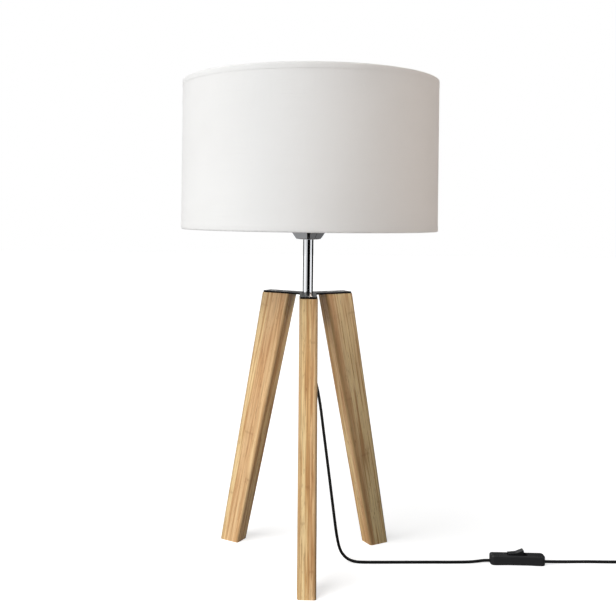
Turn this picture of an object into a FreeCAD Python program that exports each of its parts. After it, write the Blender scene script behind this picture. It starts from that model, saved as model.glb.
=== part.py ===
"""Tripod table lamp: bamboo legs, black star plate, chrome stem, drum shade and a switched lead.

Units are millimetres. Z is up, the origin is on the floor on the axis of the stem, and -Y is the front.
"""

import FreeCAD
import Part
import Sketcher

import math
import os

from FreeCAD import Placement, Rotation, Vector

DOC = FreeCAD.newDocument("TableLamp")
PARTS = []

# Driving dimensions. Heights and places that follow from them are the expressions below the table.
SIZES = {
    # legs
    "leg_height": 305.0,
    "leg_width": 20.0,
    "leg_top_inner": 19.5,
    "leg_top_outer": 56.5,
    "leg_foot_inner": 87.0,
    "leg_foot_outer": 112.5,
    "leg_edge_radius": 2.5,
    # star plate and its screws
    "plate_thickness": 2.0,
    "plate_arm_width": 19.0,
    "plate_arm_reach": 56.0,
    "plate_tip_radius": 3.0,
    "plate_throat_radius": 4.0,
    "screw_inner_place": 31.0,
    "screw_outer_place": 46.0,
    "screw_head_diameter": 7.6,
    "screw_shank_diameter": 4.0,
    "screw_length": 30.0,
    "screw_socket_width": 2.5,
    "screw_socket_depth": 1.4,
    "screw_clearance": 0.1,
    # threaded pipe and what it clamps
    "pipe_diameter": 10.0,
    "pipe_bore": 7.5,
    "pipe_clearance": 0.3,
    "pipe_below_nut": 8.5,
    "pipe_in_holder": 7.0,
    "washer_diameter": 18.0,
    "washer_thickness": 1.5,
    "nut_across_flats": 14.0,
    "nut_thickness": 3.0,
    "nut_chamfer": 0.8,
    "stem_diameter": 12.0,
    "stem_length": 62.0,
    # chrome cup
    "cup_floor_radius": 15.2,
    "cup_radius": 22.0,
    "cup_flank_height": 9.0,
    "cup_height": 33.0,
    "cup_wall": 1.0,
    "cup_edge_radius": 3.5,
    # lampholder
    "holder_gap": 0.3,
    "holder_wall": 2.6,
    "holder_floor": 2.4,
    "holder_boss_radius": 7.8,
    "holder_boss_height": 8.0,
    "holder_base_height": 28.0,
    "insulator_height": 10.0,
    "insulator_rim": 5.2,
    "skirt_shoulder_radius": 23.5,
    "skirt_shoulder_height": 3.0,
    "skirt_barrel_radius": 19.7,
    "skirt_barrel_height": 32.0,
    "shell_bore_radius": 13.25,
    "shell_wall": 0.5,
    "shell_length": 21.0,
    "shell_flange_height": 1.4,
    "contact_width": 4.0,
    "contact_thickness": 0.8,
    "contact_tongue": 1.8,
    "contact_rise": 4.5,
    "terminal_place": 8.0,
    "terminal_size": 4.4,
    "terminal_screw_diameter": 3.0,
    "core_diameter": 1.5,
    # ring nut on the lampholder
    "ring_outer_radius": 27.0,
    "ring_height": 8.0,
    "ring_clearance": 0.35,
    "ring_notch_radius": 1.6,
    # shade
    "shade_diameter": 296.0,
    "shade_bottom": 380.0,
    "shade_height": 170.0,
    "fabric_thickness": 0.6,
    "liner_thickness": 0.5,
    "hem_thickness": 0.4,
    "hem_height": 6.5,
    "wire_diameter": 3.0,
    "hub_clearance": 0.7,
    "hub_outer_radius": 31.0,
    "hub_thickness": 1.5,
    "arm_diameter": 2.6,
    "arm_overlap": 2.0,
    # cord bush under the plate
    "grip_radius": 8.0,
    "grip_height": 18.0,
    "grip_collar": 3.3,
    "grip_gap": 0.15,
    "relief_neck_radius": 3.2,
    "relief_collar_radius": 4.8,
    "relief_top_radius": 3.9,
    "relief_tip_radius": 2.3,
    "relief_length": 30.0,
    # lead
    "cord_diameter": 3.4,
    "cord_clearance": 0.05,
    "cord_lift": 0.05,
    # switch on the lead
    "switch_place": 243.3,
    "switch_offset": -9.0,
    "switch_length": 62.0,
    "switch_width": 13.0,
    "switch_base_height": 6.5,
    "switch_cover_height": 4.5,
    "switch_corner_radius": 4.0,
    "switch_top_radius": 1.8,
    "switch_foot_chamfer": 0.8,
    "switch_arch_length": 46.0,
    "switch_arch_height": 0.8,
    "switch_room_length": 36.0,
    "switch_room_width": 9.6,
    "switch_floor": 1.6,
    "switch_roof": 1.6,
    "switch_inlet_height": 3.2,
    "switch_groove_width": 1.0,
    "switch_groove_depth": 0.5,
    "switch_groove_place": 21.6,
    "switch_groove_step": 2.1,
    "rocker_half_length": 9.0,
    "rocker_width": 7.6,
    "rocker_rise": 8.4,
    "rocker_dip": 1.3,
    "rocker_waist_half_length": 8.0,
    "rocker_waist_rise": 1.0,
    "rocker_foot_length": 5.0,
    "rocker_foot_drop": 1.6,
    "rocker_edge_radius": 0.4,
    "rocker_slot_length": 22.2,
    "rocker_side_gap": 0.4,
    "rocker_tilt": 14.0,
    "axle_diameter": 1.8,
    "axle_length": 11.0,
    "axle_clearance": 0.05,
    "blade_length": 6.0,
    "blade_width": 2.4,
    "blade_thickness": 0.6,
    "fixed_contact_length": 12.4,
    "fixed_contact_width": 3.2,
    "fixed_contact_thickness": 0.6,
    "fixed_contact_place": 1.6,
    "fixed_contact_post": 2.0,
    "fixed_contact_gap": 0.35,
    "core_straight": 3.0,
    "core_spread": 4.0,
    "core_rest": 2.0,
    "switch_screw_place": 24.8,
    "switch_screw_side": 3.6,
    "switch_screw_head": 4.0,
    "switch_screw_shank": 2.2,
    "switch_screw_head_height": 1.4,
    "switch_screw_recess": 0.2,
    "switch_screw_length": 8.2,
    # plug
    "plug_thickness": 13.7,
    "plug_width": 35.3,
    "plug_neck_width": 12.0,
    "plug_flank_length": 17.0,
    "plug_face_length": 7.0,
    "plug_edge_radius": 2.0,
    "pin_diameter": 4.0,
    "pin_spacing": 18.8,
    "pin_length": 19.0,
    "pin_sleeve_length": 10.0,
    "pin_core_diameter": 3.0,
    "pin_sleeve_gap": 0.2,
    "pin_root": 8.0,
    "plug_relief_length": 14.0,
    "plug_relief_root_radius": 4.2,
    "plug_relief_tip_radius": 2.4,
    # put-away coil and its tie
    "coil_place": 392.0,
    "coil_offset": -27.0,
    "coil_outer_radius": 24.0,
    "coil_pitch": 4.0,
    "coil_layer_step": 3.95,
    "tie_thickness": 0.6,
    "tie_width": 5.0,
    "tie_slack": 0.4,
}

SHEET = DOC.addObject("Spreadsheet::Sheet", "Sizes")
for row, (alias, value) in enumerate(SIZES.items(), start=1):
    SHEET.set(f"A{row}", alias)
    SHEET.set(f"B{row}", str(value))
    SHEET.setAlias(f"B{row}", alias)
DOC.recompute()

# Heights that follow from the driving dimensions, as expressions.
PLATE_BOTTOM = "Sizes.leg_height"
PLATE_TOP = f"({PLATE_BOTTOM} + Sizes.plate_thickness)"
WASHER_BOTTOM = f"({PLATE_BOTTOM} - Sizes.washer_thickness)"
NUT_BOTTOM = f"({WASHER_BOTTOM} - Sizes.nut_thickness)"
PIPE_BOTTOM = f"({NUT_BOTTOM} - Sizes.pipe_below_nut)"
CUP_BOTTOM = f"({PLATE_TOP} + Sizes.stem_length)"
CUP_TOP = f"({CUP_BOTTOM} + Sizes.cup_height)"
HOLDER_BOTTOM = f"({CUP_BOTTOM} + Sizes.cup_wall)"
HOLDER_BASE_TOP = f"({HOLDER_BOTTOM} + Sizes.holder_base_height)"
PIPE_TOP = f"({HOLDER_BOTTOM} + Sizes.pipe_in_holder)"
INSULATOR_TOP = f"({CUP_TOP} + Sizes.holder_gap)"
INSULATOR_BOTTOM = f"({INSULATOR_TOP} - Sizes.insulator_height)"
SHELL_BOTTOM = f"({INSULATOR_TOP} + Sizes.insulator_rim)"
SHOULDER_TOP = f"({CUP_TOP} + Sizes.skirt_shoulder_height)"
BARREL_TOP = f"({SHOULDER_TOP} + Sizes.skirt_barrel_height)"
HUB_TOP = f"({SHOULDER_TOP} + Sizes.hub_thickness)"
SHADE_TOP = "(Sizes.shade_bottom + Sizes.shade_height)"
GRIP_TOP = f"({NUT_BOTTOM} - Sizes.grip_gap)"
GRIP_BOTTOM = f"({GRIP_TOP} - Sizes.grip_height)"
RELIEF_TOP = f"({PIPE_BOTTOM} - Sizes.grip_gap)"
RELIEF_SEAT = f"({RELIEF_TOP} - Sizes.grip_collar)"
RELIEF_BOTTOM = f"({GRIP_BOTTOM} - Sizes.relief_length)"

# Radii that follow from the driving dimensions.
PIPE_RADIUS = "Sizes.pipe_diameter / 2"
PIPE_HOLE_RADIUS = "(Sizes.pipe_diameter / 2 + Sizes.pipe_clearance)"
CORD_RADIUS = "Sizes.cord_diameter / 2"
CORD_HOLE_RADIUS = "(Sizes.cord_diameter / 2 + Sizes.cord_clearance)"
CUP_INNER_RADIUS = "(Sizes.cup_radius - Sizes.cup_wall)"
BASE_OUTER_RADIUS = f"({CUP_INNER_RADIUS} - Sizes.holder_gap)"
BASE_INNER_RADIUS = f"({BASE_OUTER_RADIUS} - Sizes.holder_wall)"
INSULATOR_RADIUS = f"({BASE_INNER_RADIUS} - Sizes.holder_gap)"
SHELL_OUTER_RADIUS = "(Sizes.shell_bore_radius + Sizes.shell_wall)"
SKIRT_BORE_RADIUS = f"({SHELL_OUTER_RADIUS} + Sizes.holder_gap)"
SHADE_RADIUS = "Sizes.shade_diameter / 2"
FABRIC_RADIUS = "(Sizes.shade_diameter / 2 - Sizes.hem_thickness)"
LINER_RADIUS = f"({FABRIC_RADIUS} - Sizes.fabric_thickness)"
LINER_INNER_RADIUS = f"({LINER_RADIUS} - Sizes.liner_thickness)"
WIRE_PLACE = f"({LINER_INNER_RADIUS} - Sizes.wire_diameter / 2)"
WIRE_BOTTOM = "(Sizes.shade_bottom + Sizes.hem_thickness + Sizes.wire_diameter / 2)"
WIRE_TOP = f"({SHADE_TOP} - Sizes.hem_thickness - Sizes.wire_diameter / 2)"
HEM_INNER_RADIUS = f"({LINER_INNER_RADIUS} - Sizes.wire_diameter - Sizes.hem_thickness)"
HUB_INNER_RADIUS = "(Sizes.skirt_barrel_radius + Sizes.hub_clearance)"

# Directions of the legs, seen from above.
LEG_ANGLES = {"front_leg": 270, "rear_left_leg": 150, "rear_right_leg": 30}
LEG_COUNT = len(LEG_ANGLES)
LEG_STEP = 360 / LEG_COUNT

# Small counts and angles that no size drives.
SHADE_ARM_COUNT = 3
SHADE_ARM_ANGLE = 90
NOTCH_COUNT = 12
HEX_SIDES = 6
GROOVE_COUNT = 3
PLATE_ANGLE = 30

# The lead, as corner points of its free stretches. They repeat the curve in the photo and lie one
# cord radius above the floor. The ends at the switch follow from the switch itself.
FLOOR_RUN = 1.75
LAMP_RUN = [
    (0.0, 0.0, 252.35),
    (0.0, 0.0, 238.0),
    (7.0, -4.2, 217.5),
    (14.6, -7.8, 188.0),
    (20.2, -9.8, 146.0),
    (26.7, -11.6, 99.0),
    (32.7, -13.2, 54.0),
    (36.3, -13.8, 28.5),
    (39.6, -14.1, 14.9),
    (43.5, -14.6, 8.6),
    (48.6, -15.5, 4.2),
    (56.0, -17.3, 2.0),
    (64.5, -18.2, FLOOR_RUN),
    (82.8, -17.3, FLOOR_RUN),
    (110.4, -15.7, FLOOR_RUN),
    (137.9, -14.1, FLOOR_RUN),
    (165.5, -12.8, FLOOR_RUN),
    (186.0, -11.4, FLOOR_RUN),
    (197.0, -10.4, 2.4),
    (205.5, -9.0, 3.2),
]
PLUG_RUN = [
    (281.0, -9.0, 3.2),
    (292.5, -6.6, 2.4),
    (307.0, -4.3, FLOOR_RUN),
    (327.0, -3.0, FLOOR_RUN),
    (350.0, -2.9, 1.85),
    (372.0, -3.0, 2.35),
    (388.6, -3.0, 2.35),
]
TAIL_RUN = [
    (415.0, -30.4, 14.2),
    (415.0, -38.0, 14.2),
    (414.0, -47.0, 12.2),
    (412.0, -56.0, 9.0),
    (411.5, -64.0, 6.85),
    (411.5, -71.0, 6.85),
]
PLUG_TURN = -90

# Quarter turns of the coil in each of its four layers. A half turn climbs between two layers.
COIL_LAYERS = (8, 8, 8, 7)
COIL_CLIMB = 2
COIL_START_ANGLE = 90
TIE_ANGLE = 200
LEAST_SELF_GAP = 0.4

# Heights and places that the switch and the plug are built on.
SWITCH_TOP = "(Sizes.switch_base_height + Sizes.switch_cover_height)"
SCREW_HOLE_RADIUS = "(Sizes.switch_screw_shank / 2 + Sizes.cord_clearance)"
PLUG_HEIGHT = "Sizes.plug_thickness / 2"
PLUG_ROOT = f"({TAIL_RUN[-1][1]} - Sizes.plug_relief_length)"
PLUG_FACE = "(Sizes.plug_flank_length + Sizes.plug_face_length)"

# Tolerances and shares of the construction.
TOUCH = 1e-6
LONG_EDGE_SHARE = 0.9
ARC_SHARE = 0.45
VOLUME_ERROR = 0.01
STEPS_PER_DIAMETER = 3
NEIGHBOUR_DIAMETERS = 2.5


def size(alias):
    """Value of a driving dimension."""
    return float(SHEET.get(alias))


def worked_out(expression):
    """Value of an expression in the driving dimensions."""
    return float(SHEET.evalExpression(expression))


def new_body(label):
    """PartDesign body that becomes one node."""
    body = DOC.addObject("PartDesign::Body", label)
    body.Label = label
    PARTS.append(body)
    return body


def new_feature(label, shape):
    """Node whose shape is worked out in code."""
    feature = DOC.addObject("Part::Feature", label)
    feature.Label = label
    feature.Shape = shape
    PARTS.append(feature)
    return feature


def origin_item(body, role):
    """Plane or axis of a body's own origin."""
    return next(item for item in body.Origin.OriginFeatures if item.Role == role)


def new_sketch(body, name, plane, offset=None):
    """Sketch on one of the body's origin planes, moved along its normal by an expression."""
    sketch = body.newObject("Sketcher::SketchObject", name)
    sketch.AttachmentSupport = (origin_item(body, plane), [""])
    sketch.MapMode = "FlatFace"
    if offset is not None:
        sketch.setExpression("AttachmentOffset.Base.z", offset)
    return sketch


def bind(sketch, constraint, expression):
    """Add a constraint whose value follows an expression."""
    index = sketch.addConstraint(constraint)
    name = f"c{index}"
    sketch.renameConstraint(index, name)
    sketch.setExpression(f"Constraints.{name}", expression)


def outline(sketch, corners):
    """Closed outline of straight lines through corners given as pairs of expressions."""
    first = sketch.GeometryCount
    count = len(corners)
    spread = [
        Vector(math.cos(2 * math.pi * step / count), math.sin(2 * math.pi * step / count), 0)
        for step in range(count)
    ]
    for step in range(count):
        sketch.addGeometry(Part.LineSegment(spread[step], spread[(step + 1) % count]), False)
    for step in range(count):
        following = first + (step + 1) % count
        sketch.addConstraint(Sketcher.Constraint("Coincident", first + step, 2, following, 1))
    for step, (across, along) in enumerate(corners):
        bind(sketch, Sketcher.Constraint("DistanceX", -1, 1, first + step, 1, 1.0), f"{across}")
        bind(sketch, Sketcher.Constraint("DistanceY", -1, 1, first + step, 1, 1.0), f"{along}")


def circle(sketch, across, along, radius):
    """Circle whose centre and radius are expressions."""
    index = sketch.addGeometry(Part.Circle(Vector(1, 1, 0), Vector(0, 0, 1), 1), False)
    bind(sketch, Sketcher.Constraint("DistanceX", -1, 1, index, 3, 1.0), across)
    bind(sketch, Sketcher.Constraint("DistanceY", -1, 1, index, 3, 1.0), along)
    bind(sketch, Sketcher.Constraint("Radius", index, 1.0), radius)


def rectangle(sketch, across, along, width, height):
    """Rectangle about a centre, all as expressions."""
    outline(
        sketch,
        [
            (f"{across} - {width} / 2", f"{along} - {height} / 2"),
            (f"{across} + {width} / 2", f"{along} - {height} / 2"),
            (f"{across} + {width} / 2", f"{along} + {height} / 2"),
            (f"{across} - {width} / 2", f"{along} + {height} / 2"),
        ],
    )


def extrude(body, kind, sketch, length, symmetric=False, turned=False):
    """Pad or Pocket of a sketch."""
    feature = body.newObject(f"PartDesign::{kind}", f"{sketch.Name}_{kind}")
    feature.Profile = sketch
    feature.setExpression("Length", length)
    feature.SideType = "Symmetric" if symmetric else "One side"
    feature.Reversed = turned
    sketch.Visibility = False
    DOC.recompute()
    return feature


def revolve(body, sketch, kind="Revolution"):
    """Revolution or Groove of a sketch about the body's Z axis."""
    feature = body.newObject(f"PartDesign::{kind}", f"{sketch.Name}_{kind}")
    feature.Profile = sketch
    feature.ReferenceAxis = (sketch, ["V_Axis"])
    feature.Angle = 360
    sketch.Visibility = False
    DOC.recompute()
    return feature


def lathe(label, corners):
    """Body turned from one half section, whose corners are radius and height."""
    body = new_body(label)
    section = new_sketch(body, f"{label}_section", "XZ_Plane")
    outline(section, corners)
    revolve(body, section)
    return body


def polar(body, features, count):
    """Repeat features round the body's Z axis."""
    pattern = body.newObject("PartDesign::PolarPattern", f"{body.Name}_round")
    pattern.Originals = features
    pattern.Axis = (origin_item(body, "Z_Axis"), [""])
    pattern.Angle = 360
    pattern.Occurrences = count
    body.Tip = pattern
    DOC.recompute()
    return pattern


def mirror(body, features, plane):
    """Repeat features on the other side of one of the body's origin planes."""
    pattern = body.newObject("PartDesign::Mirrored", f"{body.Name}_{plane}_mirror")
    pattern.Originals = features
    pattern.MirrorPlane = (origin_item(body, plane), [""])
    body.Tip = pattern
    DOC.recompute()
    return pattern


def dress(body, kind, feature, wanted, amount):
    """Fillet or Chamfer on the edges of a feature that a test accepts."""
    names = [f"Edge{n}" for n, edge in enumerate(feature.Shape.Edges, start=1) if wanted(edge)]
    dressed = body.newObject(f"PartDesign::{kind}", f"{feature.Name}_{kind}")
    dressed.Base = (feature, names)
    dressed.setExpression("Radius" if kind == "Fillet" else "Size", amount)
    DOC.recompute()
    return dressed


def ends(edge):
    """First and last point of an edge."""
    return edge.valueAt(edge.FirstParameter), edge.valueAt(edge.LastParameter)


def is_upright(edge):
    """True for a straight edge along Z."""
    low, high = ends(edge)
    return math.hypot(high.x - low.x, high.y - low.y) < TOUCH < abs(high.z - low.z)


def at_height(edge, height):
    """True for an edge that lies wholly at one height."""
    box = edge.BoundBox
    return abs(box.ZMin - height) < TOUCH and abs(box.ZMax - height) < TOUCH


def place(feature, **expressions):
    """Bind a node's place to expressions for x, y and z."""
    for axis, expression in expressions.items():
        feature.setExpression(f"Placement.Base.{axis}", expression)


# ---------------------------------------------------------------------------------------------
# Legs, star plate and screws
# ---------------------------------------------------------------------------------------------


def make_leg(label, angle):
    """Tapered leg that leans out from the stem, cut level at both ends."""
    body = new_body(label)
    side = new_sketch(body, f"{label}_side", "XZ_Plane")
    outline(
        side,
        [
            ("Sizes.leg_foot_inner", "0"),
            ("Sizes.leg_foot_outer", "0"),
            ("Sizes.leg_top_outer", "Sizes.leg_height"),
            ("Sizes.leg_top_inner", "Sizes.leg_height"),
        ],
    )
    blank = extrude(body, "Pad", side, "Sizes.leg_width", symmetric=True)
    long_edge = LONG_EDGE_SHARE * size("leg_height")
    rounded = dress(body, "Fillet", blank, lambda edge: edge.Length > long_edge, "Sizes.leg_edge_radius")
    pilots = new_sketch(body, f"{label}_pilots", "XY_Plane", "Sizes.leg_height")
    pilot_radius = "(Sizes.screw_shank_diameter / 2 + Sizes.screw_clearance)"
    circle(pilots, "Sizes.screw_inner_place", "0", pilot_radius)
    circle(pilots, "Sizes.screw_outer_place", "0", pilot_radius)
    pilot_depth = "(Sizes.screw_length - Sizes.plate_thickness + Sizes.screw_clearance)"
    drilled = extrude(body, "Pocket", pilots, pilot_depth)
    if drilled.Shape.Volume >= rounded.Shape.Volume:
        raise ValueError(f"{label}: the pilot holes cut nothing")
    body.Placement = Placement(Vector(0, 0, 0), Rotation(Vector(0, 0, 1), angle))


def make_star_plate():
    """Plate with one arm on each leg, drilled for the pipe and countersunk for the screws."""
    body = new_body("star_plate")
    plan = new_sketch(body, "star_plan", "XY_Plane", PLATE_BOTTOM)
    corners = []
    for step in range(LEG_COUNT):
        turn = PLATE_ANGLE + step * LEG_STEP
        reach_x = f"Sizes.plate_arm_reach * cos({turn})"
        reach_y = f"Sizes.plate_arm_reach * sin({turn})"
        half_x = f"Sizes.plate_arm_width / 2 * sin({turn})"
        half_y = f"Sizes.plate_arm_width / 2 * cos({turn})"
        throat = f"Sizes.plate_arm_width / 2 / sin({LEG_STEP / 2})"
        throat_turn = turn + LEG_STEP / 2
        corners.append((f"{reach_x} + {half_x}", f"{reach_y} - {half_y}"))
        corners.append((f"{reach_x} - {half_x}", f"{reach_y} + {half_y}"))
        corners.append((f"{throat} * cos({throat_turn})", f"{throat} * sin({throat_turn})"))
    outline(plan, corners)
    blank = extrude(body, "Pad", plan, "Sizes.plate_thickness")
    halfway = size("plate_arm_reach") / 2

    def reach(edge):
        point = edge.CenterOfMass
        return math.hypot(point.x, point.y)

    tips = dress(
        body,
        "Fillet",
        blank,
        lambda edge: is_upright(edge) and reach(edge) > halfway,
        "Sizes.plate_tip_radius",
    )
    throats = dress(
        body,
        "Fillet",
        tips,
        lambda edge: is_upright(edge) and reach(edge) < halfway,
        "Sizes.plate_throat_radius",
    )
    bore = new_sketch(body, "star_bore", "XY_Plane", PLATE_TOP)
    circle(bore, "0", "0", PIPE_HOLE_RADIUS)
    extrude(body, "Pocket", bore, "Sizes.plate_thickness + Sizes.plate_thickness")
    sinks = []
    for name, distance in (("inner", "Sizes.screw_inner_place"), ("outer", "Sizes.screw_outer_place")):
        sink = body.newObject("PartDesign::SubtractiveCone", f"{name}_sink")
        sink.setExpression("Radius1", "Sizes.screw_shank_diameter / 2 + Sizes.screw_clearance")
        sink.setExpression("Radius2", "Sizes.screw_head_diameter / 2 + Sizes.screw_clearance")
        sink.setExpression("Height", "Sizes.plate_thickness")
        sink.setExpression("Placement.Base.x", f"{distance} * cos({PLATE_ANGLE})")
        sink.setExpression("Placement.Base.y", f"{distance} * sin({PLATE_ANGLE})")
        sink.setExpression("Placement.Base.z", PLATE_BOTTOM)
        sinks.append(sink)
    DOC.recompute()
    sunk = polar(body, sinks, LEG_COUNT)
    if sunk.Shape.Volume >= throats.Shape.Volume:
        raise ValueError("star_plate: its holes cut nothing")


def make_leg_screws():
    """Countersunk screws that hold the plate to the legs, two in each."""
    body = new_body("leg_screws")
    pieces = []
    for name, distance in (("inner", "Sizes.screw_inner_place"), ("outer", "Sizes.screw_outer_place")):
        shank = body.newObject("PartDesign::AdditiveCylinder", f"{name}_shank")
        shank.setExpression("Radius", "Sizes.screw_shank_diameter / 2")
        shank.setExpression("Height", "Sizes.screw_length - Sizes.plate_thickness")
        head = body.newObject("PartDesign::AdditiveCone", f"{name}_head")
        head.setExpression("Radius1", "Sizes.screw_shank_diameter / 2")
        head.setExpression("Radius2", "Sizes.screw_head_diameter / 2")
        head.setExpression("Height", "Sizes.plate_thickness")
        for piece, low in ((shank, f"{PLATE_TOP} - Sizes.screw_length"), (head, PLATE_BOTTOM)):
            piece.setExpression("Placement.Base.x", f"{distance} * cos({PLATE_ANGLE})")
            piece.setExpression("Placement.Base.y", f"{distance} * sin({PLATE_ANGLE})")
            piece.setExpression("Placement.Base.z", low)
        DOC.recompute()
        socket = new_sketch(body, f"{name}_socket", "XY_Plane", PLATE_TOP)
        corner = f"Sizes.screw_socket_width / 2 / cos({180 / HEX_SIDES})"
        outline(
            socket,
            [
                (
                    f"{distance} * cos({PLATE_ANGLE}) + {corner} * cos({side * 360 / HEX_SIDES})",
                    f"{distance} * sin({PLATE_ANGLE}) + {corner} * sin({side * 360 / HEX_SIDES})",
                )
                for side in range(HEX_SIDES)
            ],
        )
        recess = extrude(body, "Pocket", socket, "Sizes.screw_socket_depth")
        pieces += [shank, head, recess]
    polar(body, pieces, LEG_COUNT)


# ---------------------------------------------------------------------------------------------
# Pipe, stem and cup
# ---------------------------------------------------------------------------------------------


def make_pipe_parts():
    """Threaded pipe with the washer, nut, stem tube and cup that it clamps to the plate."""
    lathe(
        "threaded_pipe",
        [
            ("Sizes.pipe_bore / 2", PIPE_BOTTOM),
            (PIPE_RADIUS, PIPE_BOTTOM),
            (PIPE_RADIUS, PIPE_TOP),
            ("Sizes.pipe_bore / 2", PIPE_TOP),
        ],
    )
    lathe(
        "pipe_washer",
        [
            (PIPE_HOLE_RADIUS, WASHER_BOTTOM),
            ("Sizes.washer_diameter / 2", WASHER_BOTTOM),
            ("Sizes.washer_diameter / 2", PLATE_BOTTOM),
            (PIPE_HOLE_RADIUS, PLATE_BOTTOM),
        ],
    )
    lathe(
        "stem_tube",
        [
            (PIPE_HOLE_RADIUS, PLATE_TOP),
            ("Sizes.stem_diameter / 2", PLATE_TOP),
            ("Sizes.stem_diameter / 2", CUP_BOTTOM),
            (PIPE_HOLE_RADIUS, CUP_BOTTOM),
        ],
    )
    make_pipe_nut()
    make_cup()


def make_pipe_nut():
    """Thin hexagon nut under the washer."""
    body = new_body("pipe_nut")
    plan = new_sketch(body, "nut_plan", "XY_Plane", NUT_BOTTOM)
    corner = f"Sizes.nut_across_flats / 2 / cos({180 / HEX_SIDES})"
    turns = [side * 360 / HEX_SIDES for side in range(HEX_SIDES)]
    outline(plan, [(f"{corner} * cos({turn})", f"{corner} * sin({turn})") for turn in turns])
    circle(plan, "0", "0", PIPE_RADIUS)
    extrude(body, "Pad", plan, "Sizes.nut_thickness")
    bevel = new_sketch(body, "nut_bevel", "XZ_Plane")
    outline(
        bevel,
        [
            ("Sizes.nut_across_flats / 2", NUT_BOTTOM),
            ("Sizes.nut_across_flats", NUT_BOTTOM),
            ("Sizes.nut_across_flats", f"{NUT_BOTTOM} + Sizes.nut_chamfer * 2"),
            (corner, f"{NUT_BOTTOM} + Sizes.nut_chamfer"),
        ],
    )
    revolve(body, bevel, "Groove")


def make_cup():
    """Chrome cup over the lower part of the lampholder."""
    flank_top = f"({CUP_BOTTOM} + Sizes.cup_flank_height)"
    inner_floor = "(Sizes.cup_floor_radius - Sizes.cup_wall / 2)"
    body = lathe(
        "holder_cup",
        [
            (PIPE_HOLE_RADIUS, CUP_BOTTOM),
            ("Sizes.cup_floor_radius", CUP_BOTTOM),
            ("Sizes.cup_radius", flank_top),
            ("Sizes.cup_radius", CUP_TOP),
            (CUP_INNER_RADIUS, CUP_TOP),
            (CUP_INNER_RADIUS, f"{flank_top} + Sizes.cup_wall / 2"),
            (inner_floor, HOLDER_BOTTOM),
            (PIPE_HOLE_RADIUS, HOLDER_BOTTOM),
        ],
    )
    floor_height = worked_out(CUP_BOTTOM)
    shoulder_height = worked_out(flank_top)
    half_way_round = math.pi * size("cup_floor_radius")

    def is_rim(edge):
        on_floor = at_height(edge, floor_height) and edge.Length > half_way_round
        return on_floor or at_height(edge, shoulder_height)

    dress(body, "Fillet", body.Tip, is_rim, "Sizes.cup_edge_radius")


# ---------------------------------------------------------------------------------------------
# Lampholder
# ---------------------------------------------------------------------------------------------


def make_holder_bodies():
    """Moulded base, insulator and threaded skirt of the lampholder."""
    flank = "(Sizes.cup_radius - Sizes.cup_floor_radius)"
    floor_radius = f"({BASE_OUTER_RADIUS} - {flank})"
    flank_top = f"({HOLDER_BOTTOM} + Sizes.cup_flank_height)"
    lathe(
        "holder_base",
        [
            (PIPE_RADIUS, HOLDER_BOTTOM),
            (floor_radius, HOLDER_BOTTOM),
            (BASE_OUTER_RADIUS, flank_top),
            (BASE_OUTER_RADIUS, HOLDER_BASE_TOP),
            (BASE_INNER_RADIUS, HOLDER_BASE_TOP),
            (BASE_INNER_RADIUS, f"{flank_top} + Sizes.holder_wall / 2"),
            (f"{floor_radius} - Sizes.holder_wall / 2", f"{HOLDER_BOTTOM} + Sizes.holder_floor"),
            ("Sizes.holder_boss_radius", f"{HOLDER_BOTTOM} + Sizes.holder_floor"),
            ("Sizes.holder_boss_radius", f"{HOLDER_BOTTOM} + Sizes.holder_boss_height"),
            (PIPE_RADIUS, f"{HOLDER_BOTTOM} + Sizes.holder_boss_height"),
        ],
    )
    body = lathe(
        "holder_insulator",
        [
            ("0", INSULATOR_BOTTOM),
            (INSULATOR_RADIUS, INSULATOR_BOTTOM),
            (INSULATOR_RADIUS, SHELL_BOTTOM),
            (SHELL_OUTER_RADIUS, SHELL_BOTTOM),
            (SHELL_OUTER_RADIUS, INSULATOR_TOP),
            ("0", INSULATOR_TOP),
        ],
    )
    slot = new_sketch(body, "contact_slot", "XY_Plane", INSULATOR_TOP)
    slot_width = "(Sizes.contact_width + Sizes.holder_gap)"
    rectangle(slot, "0", "0", "(Sizes.terminal_place * 2)", slot_width)
    extrude(body, "Pocket", slot, "Sizes.contact_thickness")
    lathe(
        "holder_skirt",
        [
            (BASE_INNER_RADIUS, HOLDER_BASE_TOP),
            (BASE_OUTER_RADIUS, HOLDER_BASE_TOP),
            (BASE_OUTER_RADIUS, CUP_TOP),
            ("Sizes.skirt_shoulder_radius", CUP_TOP),
            ("Sizes.skirt_shoulder_radius", SHOULDER_TOP),
            ("Sizes.skirt_barrel_radius", SHOULDER_TOP),
            ("Sizes.skirt_barrel_radius", BARREL_TOP),
            (SKIRT_BORE_RADIUS, BARREL_TOP),
            (SKIRT_BORE_RADIUS, f"{SHELL_BOTTOM} + Sizes.shell_flange_height"),
            (BASE_INNER_RADIUS, f"{SHELL_BOTTOM} + Sizes.shell_flange_height"),
        ],
    )


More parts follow.
